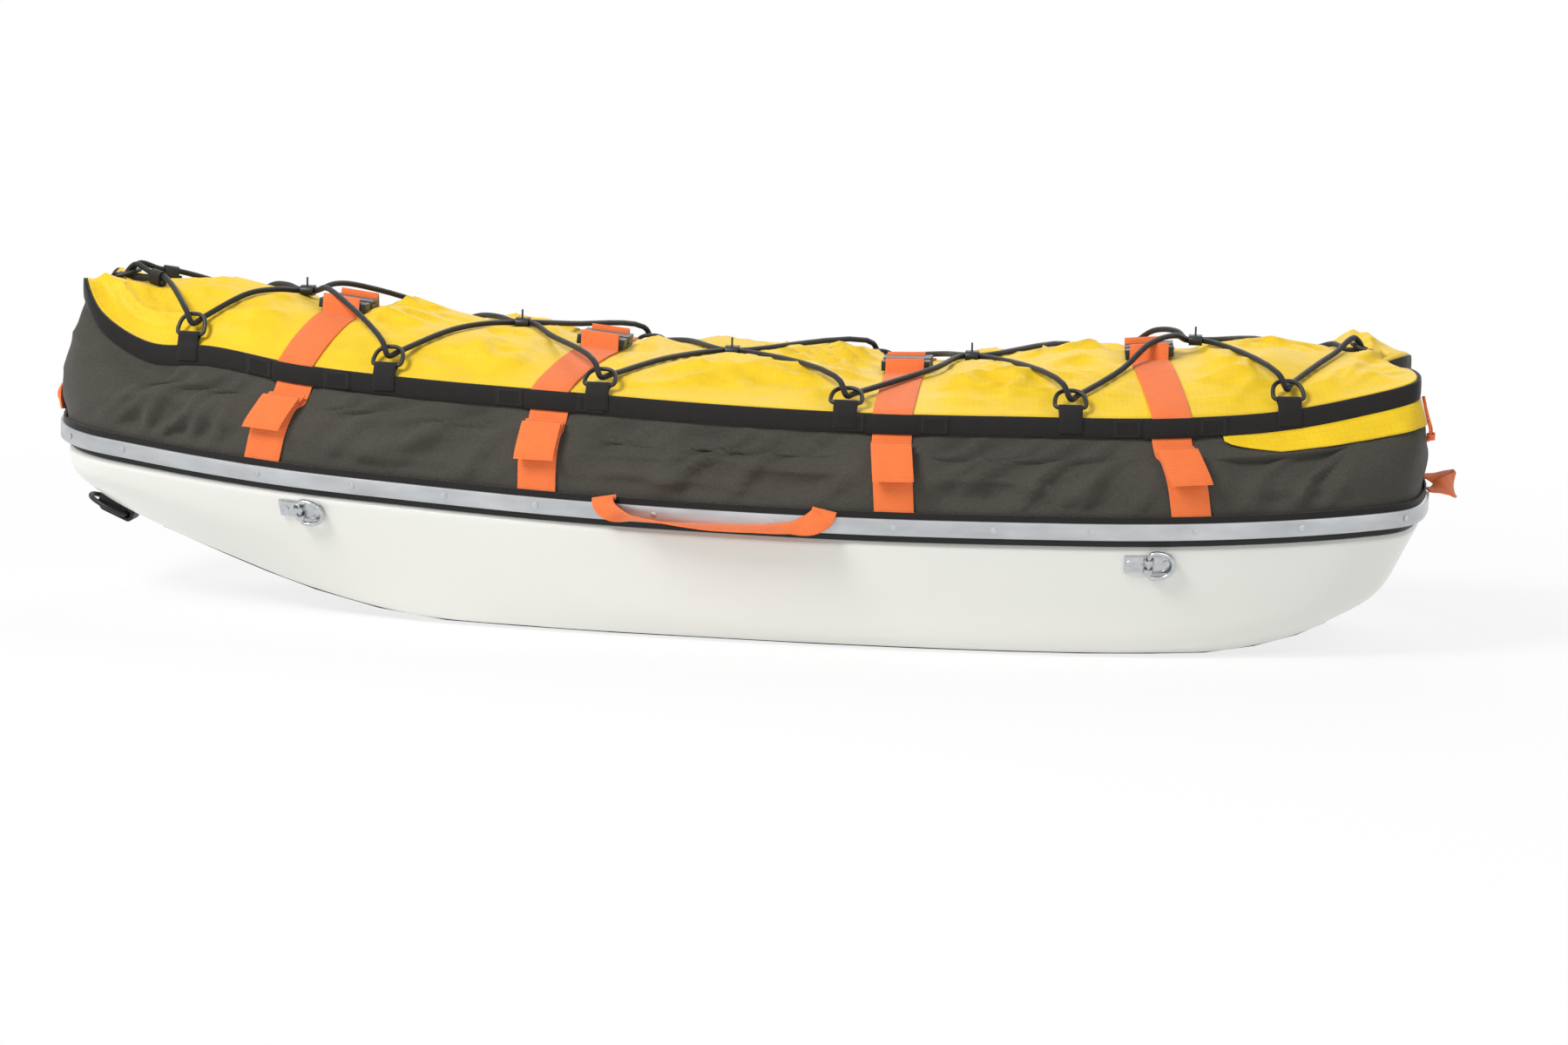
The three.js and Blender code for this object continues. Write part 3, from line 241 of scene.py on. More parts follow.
def off(loop, out, rise):
    """The loop moved out along its normals and up, in millimetres."""
    points, normal = loop
    return points + normal * np.reshape(out, (-1, 1)) + (0, 0, rise)


rim, chine, bottom = outline(RIM), outline(CHINE), outline(BOTTOM)
bottom[0][:, 2] = np.maximum(bottom[0][:, 2], KEEL)
band = outline([(x, y, RIM[i][2] + rise * BAG_RISE / BOW_HEIGHT) for i, (x, y, rise) in enumerate(BAND)])
crown = outline([
    (x, 0, RIM[i][2] + (BAND[i][2] * BAG_RISE + lift * COVER_RISE) / BOW_HEIGHT) for i, (x, lift) in enumerate(CROWN)
])


def bag_levels(out):
    """Seven rows up the bag wall: foot, hem, bulge, shoulder, tuck, edge and top."""
    bulge = off(rim, FOOT_OUT + 5 + out, BULGE_HEIGHT)
    edge = off(band, out - CLOTH, -BAND_HALF)
    shoulder = (bulge + edge) / 2 + rim[1] * 6
    top = off(band, out - CLOTH, BAND_HALF)
    tuck = edge + (shoulder - edge) * 0.8
    foot, hem = [off(rim, FOOT_OUT + out, height) for height in (HEM_LOW, HEM_HIGH)]
    return np.array([foot, hem, bulge, shoulder, tuck, edge, top])


def wall_rows(levels, stations):
    """Smooth rows up the wall, at stations counted in levels."""
    flat = levels.reshape(len(levels), -1)
    return along(flat, stations).reshape(len(stations), -1, 3)


def dome_row(share, out):
    """A row over the cover, from share 0 at the band to share 1 at the crown line."""
    edge = off(band, out, BAND_HALF + 0.3)
    over = max(share - 0.5, 0) * 2
    rise = 1 - (1 - min(share, 0.5)) ** 2 + 0.115 * (1 - (1 - over) ** 3)
    top = crown[0]
    mixed = edge + (top - edge) * share
    mixed[:, 2] = edge[:, 2] + (top[:, 2] - edge[:, 2]) * rise
    return mixed


def column_at(loop, x, side):
    """The place round a loop, counted in columns, where its left or right side passes x."""
    half = loop[0][: COLUMNS // 2 + 1, 0]
    low, high = int(half.argmin()), int(half.argmax())
    place = np.interp(x, half[low : high + 1], np.arange(low, high + 1))
    return place if side < 0 else COLUMNS - place


def pick(row, place):
    """A point of a closed row at a place between its columns."""
    low = int(math.floor(place))
    share = place - low
    return row[low % len(row)] * (1 - share) + row[(low + 1) % len(row)] * share


def metres(points):
    """Points of the sled's drawing in the frame's own place and unit."""
    return (np.asarray(points, float) + (SHIFT, 0, 0)) * MM


def unit(v):
    return v / max(np.linalg.norm(v), 1e-9)


# Making of pieces


def deselect():
    bpy.ops.object.select_all(action="DESELECT")


def sheet_of(name, grid, close_columns=False, close_rows=False):
    """A grid primitive laid on rows of points in millimetres, with its UV map in metres."""
    if close_columns:
        grid = np.concatenate([grid, grid[:, :1]], 1)
    if close_rows:
        grid = np.concatenate([grid, grid[:1]], 0)
    rows, columns = grid.shape[:2]
    deselect()
    bpy.ops.mesh.primitive_grid_add(x_subdivisions=columns - 1, y_subdivisions=rows - 1, size=1)
    obj = bpy.context.object
    obj.name = obj.data.name = name
    obj.data.vertices.foreach_set("co", metres(grid).ravel())
    step_u = np.linalg.norm(np.diff(grid, axis=1), axis=2).mean(0) * MM
    step_v = np.linalg.norm(np.diff(grid, axis=0), axis=2).mean(1) * MM
    u, v = np.concatenate([[0], step_u.cumsum()]), np.concatenate([[0], step_v.cumsum()])
    uv = np.stack(np.broadcast_arrays(u[None, :], v[:, None]), 2).reshape(-1, 2)
    corners = np.zeros(len(obj.data.loops), int)
    obj.data.loops.foreach_get("vertex_index", corners)
    obj.data.uv_layers.active.data.foreach_set("uv", uv[corners].ravel())
    bpy.ops.object.mode_set(mode="EDIT")
    bpy.ops.mesh.select_all(action="SELECT")
    bpy.ops.mesh.remove_doubles(threshold=1e-6)
    bpy.ops.mesh.normals_make_consistent(inside=False)
    bpy.ops.object.mode_set(mode="OBJECT")
    bpy.ops.object.shade_smooth()
    return obj


def thicken(obj, thick, offset=0.0):
    """Gives a sheet its thickness, to both sides of it or, at -1 and 1, to one."""
    made = obj.modifiers.new("Thickness", "SOLIDIFY")
    made.thickness, made.offset = thick * MM, offset
    bpy.context.view_layer.objects.active = obj
    bpy.ops.object.modifier_apply(modifier=made.name)
    return obj


def soften(obj, width, segments=2, angle=35):
    """Rounds the edges sharper than an angle and shades the rest smooth."""
    deselect()
    obj.select_set(True)
    bpy.context.view_layer.objects.active = obj
    made = obj.modifiers.new("Edges", "BEVEL")
    made.width, made.segments, made.limit_method = width * MM, segments, "ANGLE"
    made.angle_limit = math.radians(angle)
    bpy.ops.object.modifier_apply(modifier=made.name)
    bpy.ops.object.shade_smooth_by_angle(angle=math.radians(angle))
    return obj


def smoothed(obj, levels=1):
    deselect()
    obj.select_set(True)
    bpy.context.view_layer.objects.active = obj
    made = obj.modifiers.new("Smooth", "SUBSURF")
    made.levels = made.render_levels = levels
    bpy.ops.object.modifier_apply(modifier=made.name)
    return obj


def joined(name, parts):
    deselect()
    for part in parts:
        part.select_set(True)
    bpy.context.view_layer.objects.active = parts[0]
    if len(parts) > 1:
        bpy.ops.object.join()
    parts[0].name = parts[0].data.name = name
    return parts[0]


def tube(name, path, diameter, sides=12, closed=False):
    """A round tube along points in millimetres, its UV map in metres."""
    path = np.asarray(path, float)
    ahead = np.roll(path, -1, 0) - np.roll(path, 1, 0) if closed else np.gradient(path, axis=0)
    ahead = ahead / np.maximum(np.linalg.norm(ahead, axis=1, keepdims=True), 1e-9)
    up = np.array((0, 0, 1.0)) if abs(ahead[0][2]) < 0.9 else np.array((0, 1.0, 0))
    turns = 2 * math.pi * np.arange(sides) / sides
    rows = []
    for point, way in zip(path, ahead):
        up = unit(up - way * up.dot(way))
        side = np.cross(way, up)
        rows.append(point + (np.cos(turns)[:, None] * up + np.sin(turns)[:, None] * side) * diameter / 2)
    grid = np.array(rows).transpose(1, 0, 2)
    if not closed:
        ends = [np.repeat(path[k][None, None], sides, 0) for k in (0, -1)]
        grid = np.concatenate([ends[0], grid, ends[1]], 1)
    return sheet_of(name, grid, close_columns=closed, close_rows=True)


def rounded(node, name, width, segments=2, levels=0):
    """A merged copy of a frame node with rounded edges, or smoothed where it is a wire."""
    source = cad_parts[node]
    obj = bpy.data.objects.new(name, source.data.copy())
    bpy.context.scene.collection.objects.link(obj)
    deselect()
    obj.select_set(True)
    bpy.context.view_layer.objects.active = obj
    bpy.ops.object.mode_set(mode="EDIT")
    bpy.ops.mesh.select_all(action="SELECT")
    bpy.ops.mesh.remove_doubles(threshold=2e-5)
    if levels:
        bpy.ops.mesh.tris_convert_to_quads(face_threshold=math.radians(60), shape_threshold=math.radians(60))
    else:
        bpy.ops.mesh.dissolve_limited(angle_limit=math.radians(2))
    bpy.ops.mesh.normals_make_consistent(inside=False)
    bpy.ops.object.mode_set(mode="OBJECT")
    if levels:
        smoothed(obj, levels)
        bpy.ops.object.shade_smooth()
        return obj
    return soften(obj, width, segments)


def dress(obj, finish, body="sled", stands_for=()):
    """Gives a piece its finish and slot, and puts it on its body."""
    obj.data.materials.clear()
    obj.data.materials.append(finish)
    for face in obj.data.polygons:
        face.material_index = 0
    if stands_for:
        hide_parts(*stands_for)
    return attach(obj, body)


# Finishes


class Finish:
    """A node material built step by step round one Principled shader."""

    def __init__(self, name, colour, roughness, metallic=0.0, coat=0.0, sheen=0.0, specular=0.5):
        self.made = bpy.data.materials.new(name)
        self.made.use_nodes = True
        self.tree = self.made.node_tree
        self.shader = next(n for n in self.tree.nodes if n.type == "BSDF_PRINCIPLED")
        linear = [c / 12.92 if c <= 0.04045 else ((c + 0.055) / 1.055) ** 2.4 for c in colour]
        self.colour = (*linear, 1)
        for socket, value in (
            ("Base Color", self.colour), ("Roughness", roughness), ("Metallic", metallic),
            ("Coat Weight", coat), ("Coat Roughness", 0.12), ("Sheen Weight", sheen),
            ("Sheen Roughness", 0.4), ("Specular IOR Level", specular),
        ):
            self.shader.inputs[socket].default_value = value
        self.made.diffuse_color = self.colour

    def node(self, kind, settings=None, **inputs):
        made = self.tree.nodes.new(kind)
        for key, value in (settings or {}).items():
            setattr(made, key, value)
        for key, value in inputs.items():
            socket = made.inputs[int(key[1:])] if key[0] == "i" and key[1:].isdigit() else made.inputs[key]
            if isinstance(value, bpy.types.NodeSocket):
                self.tree.links.new(value, socket)
            else:
                socket.default_value = value
        return made.outputs[0]

    def place(self, uv=False, scale=(1, 1, 1), turn=0.0):
        """Surface or object places, in metres times a scale."""
        source = self.tree.nodes.new("ShaderNodeTexCoord").outputs["UV" if uv else "Object"]
        return self.node("ShaderNodeMapping", i0=source, i2=(0, 0, turn), i3=scale)

    def mottle(self, place, scale, detail=3.0, rough=0.55):
        return self.node("ShaderNodeTexNoise", i0=place, Scale=scale, Detail=detail, Roughness=rough)

    def ramp(self, value, low, high, to_low=0.0, to_high=1.0):
        return self.node("ShaderNodeMapRange", i0=value, i1=low, i2=high, i3=to_low, i4=to_high)

    def maths(self, operation, a, b=0.0):
        return self.node("ShaderNodeMath", {"operation": operation}, i0=a, i1=b)

    def wave(self, place, scale, direction="X"):
        settings = {"wave_type": "BANDS", "bands_direction": direction, "wave_profile": "SIN"}
        made = self.node("ShaderNodeTexWave", settings, Vector=place, Scale=scale, Distortion=0.0, Detail=1.0)
        return made.node.outputs["Fac"]

    def tint(self, share, dark, light):
        """Colours the surface between two shades of its own colour, by a share from 0 to 1."""
        def shade(share):
            return (*[min(c * share, 1) for c in self.colour[:3]], 1)

        mix = self.tree.nodes.new("ShaderNodeMix")
        mix.data_type = "RGBA"
        self.tree.links.new(share, mix.inputs[0])
        mix.inputs[6].default_value, mix.inputs[7].default_value = shade(dark), shade(light)
        self.tree.links.new(mix.outputs[2], self.shader.inputs["Base Color"])
        return self

    def gloss(self, share, low, high):
        self.tree.links.new(self.ramp(share, 0, 1, low, high), self.shader.inputs["Roughness"])
        return self

    def bump(self, height, depth, strength=1.0):
        made = self.node("ShaderNodeBump", Strength=strength, Distance=depth, Height=height)
        before = self.shader.inputs["Normal"]
        if before.is_linked:
            self.tree.links.new(before.links[0].from_socket, made.node.inputs["Normal"])
        self.tree.links.new(made, before)
        return self


FINISHES = {}


def gelcoat(colours):
    f = Finish("gelcoat", colours.gelcoat, 0.3, coat=0.3)
    place = f.place()
    broad, fine = f.mottle(place, 3.0, 2.0), f.mottle(place, 14.0, 2.0)
    f.tint(f.ramp(broad, 0.3, 0.7), 0.985, 1.0).gloss(f.ramp(fine, 0.3, 0.7), 0.28, 0.33)
    f.bump(broad, 0.0015, 0.3)
    return f


def aluminium(colours):
    f = Finish("mill_aluminium", colours.aluminium, 0.34, metallic=0.9)
    grain = f.mottle(f.place(uv=True, scale=(8, 900, 1)), 1.0, 4.0, 0.6)
    cloudy = f.mottle(f.place(uv=True, scale=(14, 40, 1)), 1.0, 3.0)
    f.tint(f.ramp(cloudy, 0.3, 0.7), 0.8, 1.08).gloss(f.ramp(grain, 0.3, 0.7), 0.26, 0.46)
    f.bump(grain, 0.00008, 0.6)
    return f


def steel(colours):
    f = Finish("bright_zinc", colours.steel, 0.22, metallic=1.0)
    cloudy = f.mottle(f.place(), 160.0, 3.0)
    f.tint(f.ramp(cloudy, 0.35, 0.65), 0.84, 1.05).gloss(f.ramp(cloudy, 0.3, 0.7), 0.18, 0.34)
    f.bump(f.mottle(f.place(), 500.0, 2.0), 0.00005, 0.5)
    return f


def plastic(colours):
    f = Finish("moulded_plastic", colours.black, 0.42)
    grain = f.mottle(f.place(), 1500.0, 2.0)
    f.tint(f.ramp(f.mottle(f.place(), 60.0), 0.3, 0.7), 0.85, 1.2).gloss(f.ramp(grain, 0.3, 0.7), 0.36, 0.5)
    f.bump(grain, 0.00006, 0.6)
    return f


def rubber(colours):
    f = Finish("rim_rubber", colours.black, 0.5, specular=0.4)
    dust = f.mottle(f.place(), 45.0, 4.0)
    f.tint(f.ramp(dust, 0.3, 0.75), 0.75, 1.25).gloss(f.ramp(dust, 0.3, 0.7), 0.42, 0.6)
    f.bump(f.mottle(f.place(), 700.0, 2.0), 0.0001, 0.5)
    return f


def web(name, colour, dark, light, sheen=0.3):
    """Ribbed webbing: ribs run across the width, with a fine twill."""
    f = Finish(name, colour, 0.78, sheen=sheen, specular=0.25)
    uv = f.place(uv=True)
    ribs = f.wave(uv, 120.0, "X")
    twill = f.wave(uv, 260.0, "DIAGONAL")
    weave = f.maths("ADD", f.maths("MULTIPLY", ribs, 0.6), f.maths("MULTIPLY", twill, 0.4))
    worn = f.maths("MULTIPLY", f.mottle(f.place(), 90.0), 0.5)
    f.tint(f.ramp(f.maths("ADD", f.maths("MULTIPLY", weave, 0.5), worn), 0.1, 0.9), dark, light)
    f.bump(weave, 0.00035, 0.8).bump(f.mottle(f.place(), 1400.0, 2.0), 0.0001, 0.5)
    return f


def bag_cloth(colours):
    f = Finish("bag_cloth", colours.grey_cloth, 0.86, sheen=0.15, specular=0.2)
    uv = f.place(uv=True)
    warp, weft = f.wave(uv, 190.0, "X"), f.wave(uv, 190.0, "Y")
    weave = f.maths("MULTIPLY", warp, weft)
    speck = f.mottle(f.place(), 420.0, 3.0, 0.7)
    f.tint(f.ramp(f.maths("ADD", f.maths("MULTIPLY", weave, 0.3), speck), 0.25, 0.95), 0.72, 1.3)
    f.bump(weave, 0.0003, 0.7).bump(f.mottle(f.place(), 34.0, 4.0), 0.0022, 0.55)
    return f


def cover_cloth(colours):
    f = Finish("cover_cloth", colours.yellow_cloth, 0.55, sheen=0.2, specular=0.35)
    uv = f.place(uv=True)
    cells = [f.ramp(f.wave(uv, 52.0, way), 0.93, 1.0) for way in ("X", "Y")]
    grid = f.maths("MAXIMUM", *cells)
    crumple_and_shade = f.mottle(f.place(scale=(1.0, 1.7, 1.0)), 30.0, 5.0, 0.6)
    # Painted shade: the crinkle noise that raises the bump also darkens the yellow in its hollows and lightens it on
    # its ridges
    f.tint(f.maths("SUBTRACT", f.ramp(crumple_and_shade, 0.3, 0.7), f.maths("MULTIPLY", grid, 0.25)), 0.9, 1.04)
    f.gloss(f.ramp(crumple_and_shade, 0.3, 0.7), 0.5, 0.64)
    f.bump(grid, 0.0002, 0.6).bump(crumple_and_shade, 0.0035, 0.6)
    return f


def braid(name, colour, sheen, fleck=None):
    """A braided sheath whose strands cross on two diagonals, with black flecks where asked."""
    f = Finish(name, colour, 0.5, sheen=sheen, specular=0.3)
    strands = f.maths("MAXIMUM", *[f.wave(f.place(uv=True, turn=turn), 150.0) for turn in (0.8, -0.8)])
    if fleck:
        spots = f.ramp(f.mottle(f.place(uv=True, scale=(260, 420, 1)), 1.0, 1.0), 0.6, 0.64)
        f.tint(f.maths("SUBTRACT", 1.0, spots), fleck, 1.0)
    else:
        f.tint(strands, 0.5, 1.2)
    f.bump(strands, 0.0004, 0.8)
    return f


def stitching(colours):
    """Black webbing with a box of dashed stitches near its edge."""
    f = Finish("stitched_web", colours.webbing, 0.8, sheen=0.3, specular=0.25)
    uv = f.place(uv=True)
    ribs = f.wave(uv, 120.0, "X")
    patch = f.node("ShaderNodeAttribute", {"attribute_name": "patch"}).node.outputs["Vector"]
    parts = f.node("ShaderNodeSeparateXYZ", i0=patch).node.outputs
    bars = [f.maths("ABSOLUTE", parts[k]) for k in (0, 1)]
    line = f.maths("ABSOLUTE", f.maths("SUBTRACT", f.maths("MAXIMUM", *bars), 0.78))
    dashes = f.ramp(f.wave(f.place(uv=True, turn=0.7), 190.0, "X"), 0.3, 0.5)
    thread = f.maths("MULTIPLY", f.ramp(line, 0.05, 0.1, 1.0, 0.0), dashes)
    f.tint(f.maths("ADD", f.maths("MULTIPLY", ribs, 0.3), thread), 0.75, 2.2)
    f.bump(ribs, 0.0003, 0.7).bump(thread, 0.0005, 0.8)
    return f


def ink_finishes():
    colours = bpy.context.scene.sled_colours
    FINISHES.update(
        gelcoat=gelcoat(colours).made, aluminium=aluminium(colours).made, steel=steel(colours).made,
        plastic=plastic(colours).made, rubber=rubber(colours).made, bag=bag_cloth(colours).made,
        cover=cover_cloth(colours).made, stitched=stitching(colours).made,
        orange_web=web("orange_web", colours.orange, 0.82, 1.12).made,
        black_web=web("black_web", colours.webbing, 0.7, 1.5).made,
        cord=braid("cord_braid", colours.black, 0.1).made,
        pull=braid("pull_braid", colours.orange, 0.2, fleck=0.04).made,
    )


# Hull and rim


def fillet(rows, k, back, ahead, steps=5):
    """Rounds the corner at row k of a profile with a short curve towards its neighbours."""
    start = rows[k] + (rows[k - 1] - rows[k]) * np.reshape(back, (-1, 1))
    end = rows[k] + (rows[k + 1] - rows[k]) * np.reshape(ahead, (-1, 1))
    shares = np.linspace(0, 1, steps)
    return [start * (1 - t) ** 2 + rows[k] * 2 * t * (1 - t) + end * t * t for t in shares]


def share_of(a, b, length):
    """A length as a share of the way between two rows, at most 0.45."""
    return np.minimum(length / np.maximum(np.linalg.norm(b - a, axis=1), 1e-6), 0.45)


def hull_shell():
    """The moulded shell: flat bottom, bilge, chine, the step under the rim and the flange."""
    low, mid = bottom[0], chine[0]
    under, over, top = off(rim, RIM_STEP, STEP_LOW), off(rim, 0, STEP_HIGH), off(rim, 0, HULL_TOP)
    rows = [low * (1, k, 1) for k in (0.0, 0.25, 0.5, 0.75)] + [low, mid, under, over, top]
    turn = np.interp(low[:, 0], [-450, -230], [9, 3])
    bilge = fillet(rows, 4, share_of(rows[4], rows[3], turn), share_of(rows[4], rows[5], turn + 1), 4)
    edge = fillet(rows, 5, share_of(rows[5], rows[4], 22), share_of(rows[5], rows[6], 22), 7)
    step = fillet(rows, 6, share_of(rows[6], rows[5], 4), share_of(rows[6], rows[7], 2), 4)
    profile = rows[:4] + bilge + edge + [(edge[-1] + step[0]) / 2] + step + rows[7:]
    obj = sheet_of("hull_shell", np.array(profile), close_columns=True)
    thicken(obj, HULL_THICK, -1)
    return dress(obj, FINISHES["gelcoat"], stands_for=["hull"])


def rim_profile(name, out, thick, low, high, corner, crown_out=0.0):
    """A strip round the rim with rounded corners and, where wanted, a crowned face."""
    c = corner
    section = [
        (0, low), (thick - c, low), (thick - c * 0.3, low + c * 0.3), (thick, low + c),
        (thick + crown_out, (low + high) / 2),
        (thick, high - c), (thick - c * 0.3, high - c * 0.3), (thick - c, high), (0, high),
    ]
    grid = np.array([off(rim, out + x, z) for x, z in section])
    return sheet_of(name, grid, close_columns=True, close_rows=True)


def rim_trim():
    """The rubber trim that clasps the hull's edge."""
    obj = rim_profile("rim_trim", TRIM_OUT, TRIM_THICK, TRIM_LOW, TRIM_HIGH, 1.2, 0.8)
    return dress(obj, FINISHES["rubber"], stands_for=["edge_trim"])


def hem_binding():
    """The black tape at the bag's foot, clamped under the rails."""
    obj = rim_profile("hem_binding", HEM_OUT, HEM_THICK, HEM_LOW, HEM_HIGH, 0.5, 0.3)
    return dress(obj, FINISHES["black_web"], stands_for=["hem_strip"])


def rails():
    """The two aluminium strips round the rim, each with its rivets."""
    out, high = RAIL_THICK, RAIL_HALF
    upper = [(out, 3), (out, high - 0.9), (out - 0.15, high - 0.3), (out - 0.6, high), (0, high)]
    section = [(x, -z) for x, z in upper[::-1]] + upper
    half = COLUMNS // 2 + 1
    for side, name in ((-1, "left"), (1, "right")):
        rows = np.array([off(rim, RAIL_OUT + x, z) for x, z in section])[:, :half] * (1, -side, 1)
        rows[:, 0, 1] = rows[:, -1, 1] = side * 1.0
        ends = [np.repeat(rows[:, k].mean(0)[None, None], len(section), 0) for k in (0, -1)]
        rows = np.concatenate([ends[0], rows, ends[1]], 1)
        strip = sheet_of(f"rail_strip_{name}", rows, close_rows=True)
        deselect()
        strip.select_set(True)
        bpy.ops.object.shade_smooth_by_angle(angle=math.radians(35))
        dress(strip, FINISHES["aluminium"], stands_for=[f"rail_{name}"])
        rivets(side, name)


def rivet_head():
    """One domed rivet with a bright ring and a pressed middle, standing on the origin along Z."""
    diameter = bpy.context.scene.sled_sizes.rivet_diameter
    deselect()
    bpy.ops.mesh.primitive_cylinder_add(vertices=20, radius=diameter / 2, depth=0.0014, location=(0, 0, 0.0005))
    obj = bpy.context.object
    bpy.ops.object.transform_apply(location=True, rotation=True, scale=True)
    top = max(obj.data.polygons, key=lambda face: face.center.z)
    for face in obj.data.polygons:
        face.select = face.index == top.index
    bpy.ops.object.mode_set(mode="EDIT")
    bpy.ops.mesh.select_mode(type="FACE")
    bpy.ops.mesh.inset(thickness=diameter * 0.16, depth=0.0003)
    bpy.ops.mesh.inset(thickness=diameter * 0.12, depth=-0.0002)
    bpy.ops.mesh.inset(thickness=diameter * 0.04, depth=-0.0009)
    bpy.ops.object.mode_set(mode="OBJECT")
    return soften(obj, 0.25, 2, 30)


def rivets(side, name):
    """Copies of one rivet along the rail."""
    head, parts = rivet_head(), []
    for share in RIVETS:
        place = column_at(rim, share * HALF_LENGTH, side)
        centre, way = pick(off(rim, RAIL_OUT + RAIL_THICK, 0), place), Vector(unit(pick(rim[1], place)))
        copy = bpy.data.objects.new("rivet", head.data.copy())
        bpy.context.scene.collection.objects.link(copy)
        copy.data.transform(Matrix.Translation(metres(centre)) @ way.to_track_quat("Z", "Y").to_matrix().to_4x4())
        parts.append(copy)
    bpy.data.objects.remove(head)
    dress(joined(f"rail_rivets_{name}", parts), FINISHES["steel"])


# Cloth


def strap_lines():
    """For each strap, its column at the rail, at the band and at the cover, on both sides."""
    rows = {}
    for k, (rail, edge, upper) in enumerate(STRAPS):
        for side in (-1, 1):
            rows[k, side] = (
                column_at(rim, rail * HALF_LENGTH, side),
                column_at(band, edge * HALF_LENGTH, side),
                column_at(band, upper * HALF_LENGTH, side),
            )
    return rows


def normals_of(grid):
    """Unit normals at the points of a grid."""
    across = np.gradient(grid, axis=1)
    upward = np.gradient(grid, axis=0)
    normal = np.cross(across, upward)
    return normal / np.maximum(np.linalg.norm(normal, axis=2, keepdims=True), 1e-9)


def ease(value, low, high):
    """A smooth step from 0 to 1 between two values."""
    t = np.clip((value - low) / (high - low), 0, 1)
    return t * t * (3 - 2 * t)


def folds(points, scale, seed):
    """Smooth noise from -1 to 1 at each point, with its own stretch along each axis."""
    flat = points.reshape(-1, 3) * np.array(scale) * MM
    return np.array([noise.noise(Vector(p) + Vector((seed, seed * 0.7, 0))) for p in flat]).reshape(points.shape[:-1])


def bag_wall():
    """The grey wall, creased between the straps and smooth at its seams and round the stern."""
    stations = np.concatenate([np.linspace(0, 1, 4)[:-1], np.linspace(1, 5, 37)[:-1], np.linspace(5, 6, 4)])
    grid = wall_rows(bag_levels(CLOTH - 1), stations)
    normal = normals_of(grid)
    normal *= np.sign((normal[len(grid) // 2] * rim[1]).sum())
    level = np.broadcast_to(stations[:, None], grid.shape[:2])
    mask = ease(level, 1.0, 1.5) * (1 - ease(level, 4.5, 5.0))
    for foot, edge, _ in strap_lines().values():
        for r, q in enumerate(stations):
            centre = foot + (edge - foot) * np.interp(q, range(7), CLIMB)
            gap = np.linalg.norm(grid[r] - pick(grid[r], centre), axis=1)
            mask[r] *= ease(gap, 24, 70)
    mask *= 1 - ease(grid[..., 0], 470, 520) * ease(level, 3.0, 3.4)
    mask *= 1 - 0.75 * ease(np.abs(grid[..., 0]), 610, 660)
    mask *= 1 - ease(grid[..., 0], 610, 670)
    lean = grid - np.stack([level * 30, 0 * level, 0 * level], -1)
    warp = folds(grid, (4, 4, 5), 8.0)[..., None] * 30
    diagonal = 1 - np.abs(folds(lean + warp, (23, 6, 7), 3.1)) * 3.4
    crease = 1 - np.abs(folds(grid + warp, (5, 5, 30), 5.7)) * 3.2
    puckers = folds(grid, (38, 38, 8), 2.3) * np.interp(stations, [1, 1.5, 2.6], [1, 0.9, 0])[:, None]
    swell = folds(grid, (5, 5, 10), 1.3)
    depth = size_of("bag_folds")
    ridges = 1.1 * np.clip(diagonal, 0, 1) ** 1.3 + 0.5 * np.clip(crease, 0, 1) ** 1.5
    height = ridges + 0.35 * puckers + 0.9 * swell - 0.9
    obj = sheet_of("bag_cloth", grid + normal * (height * depth * mask)[..., None], close_columns=True)
    thicken(obj, BAG_SHEET)
    dress(obj, FINISHES["bag"], stands_for=["bag_wall"])
    return obj


def cord_path():
    """The lacing cord's whole route, down the left side, through the stern ring and back."""
    left = np.array(CORD, float)
    return np.vstack([left, STERN_TURN, left[::-1] * (1, -1, 1)])


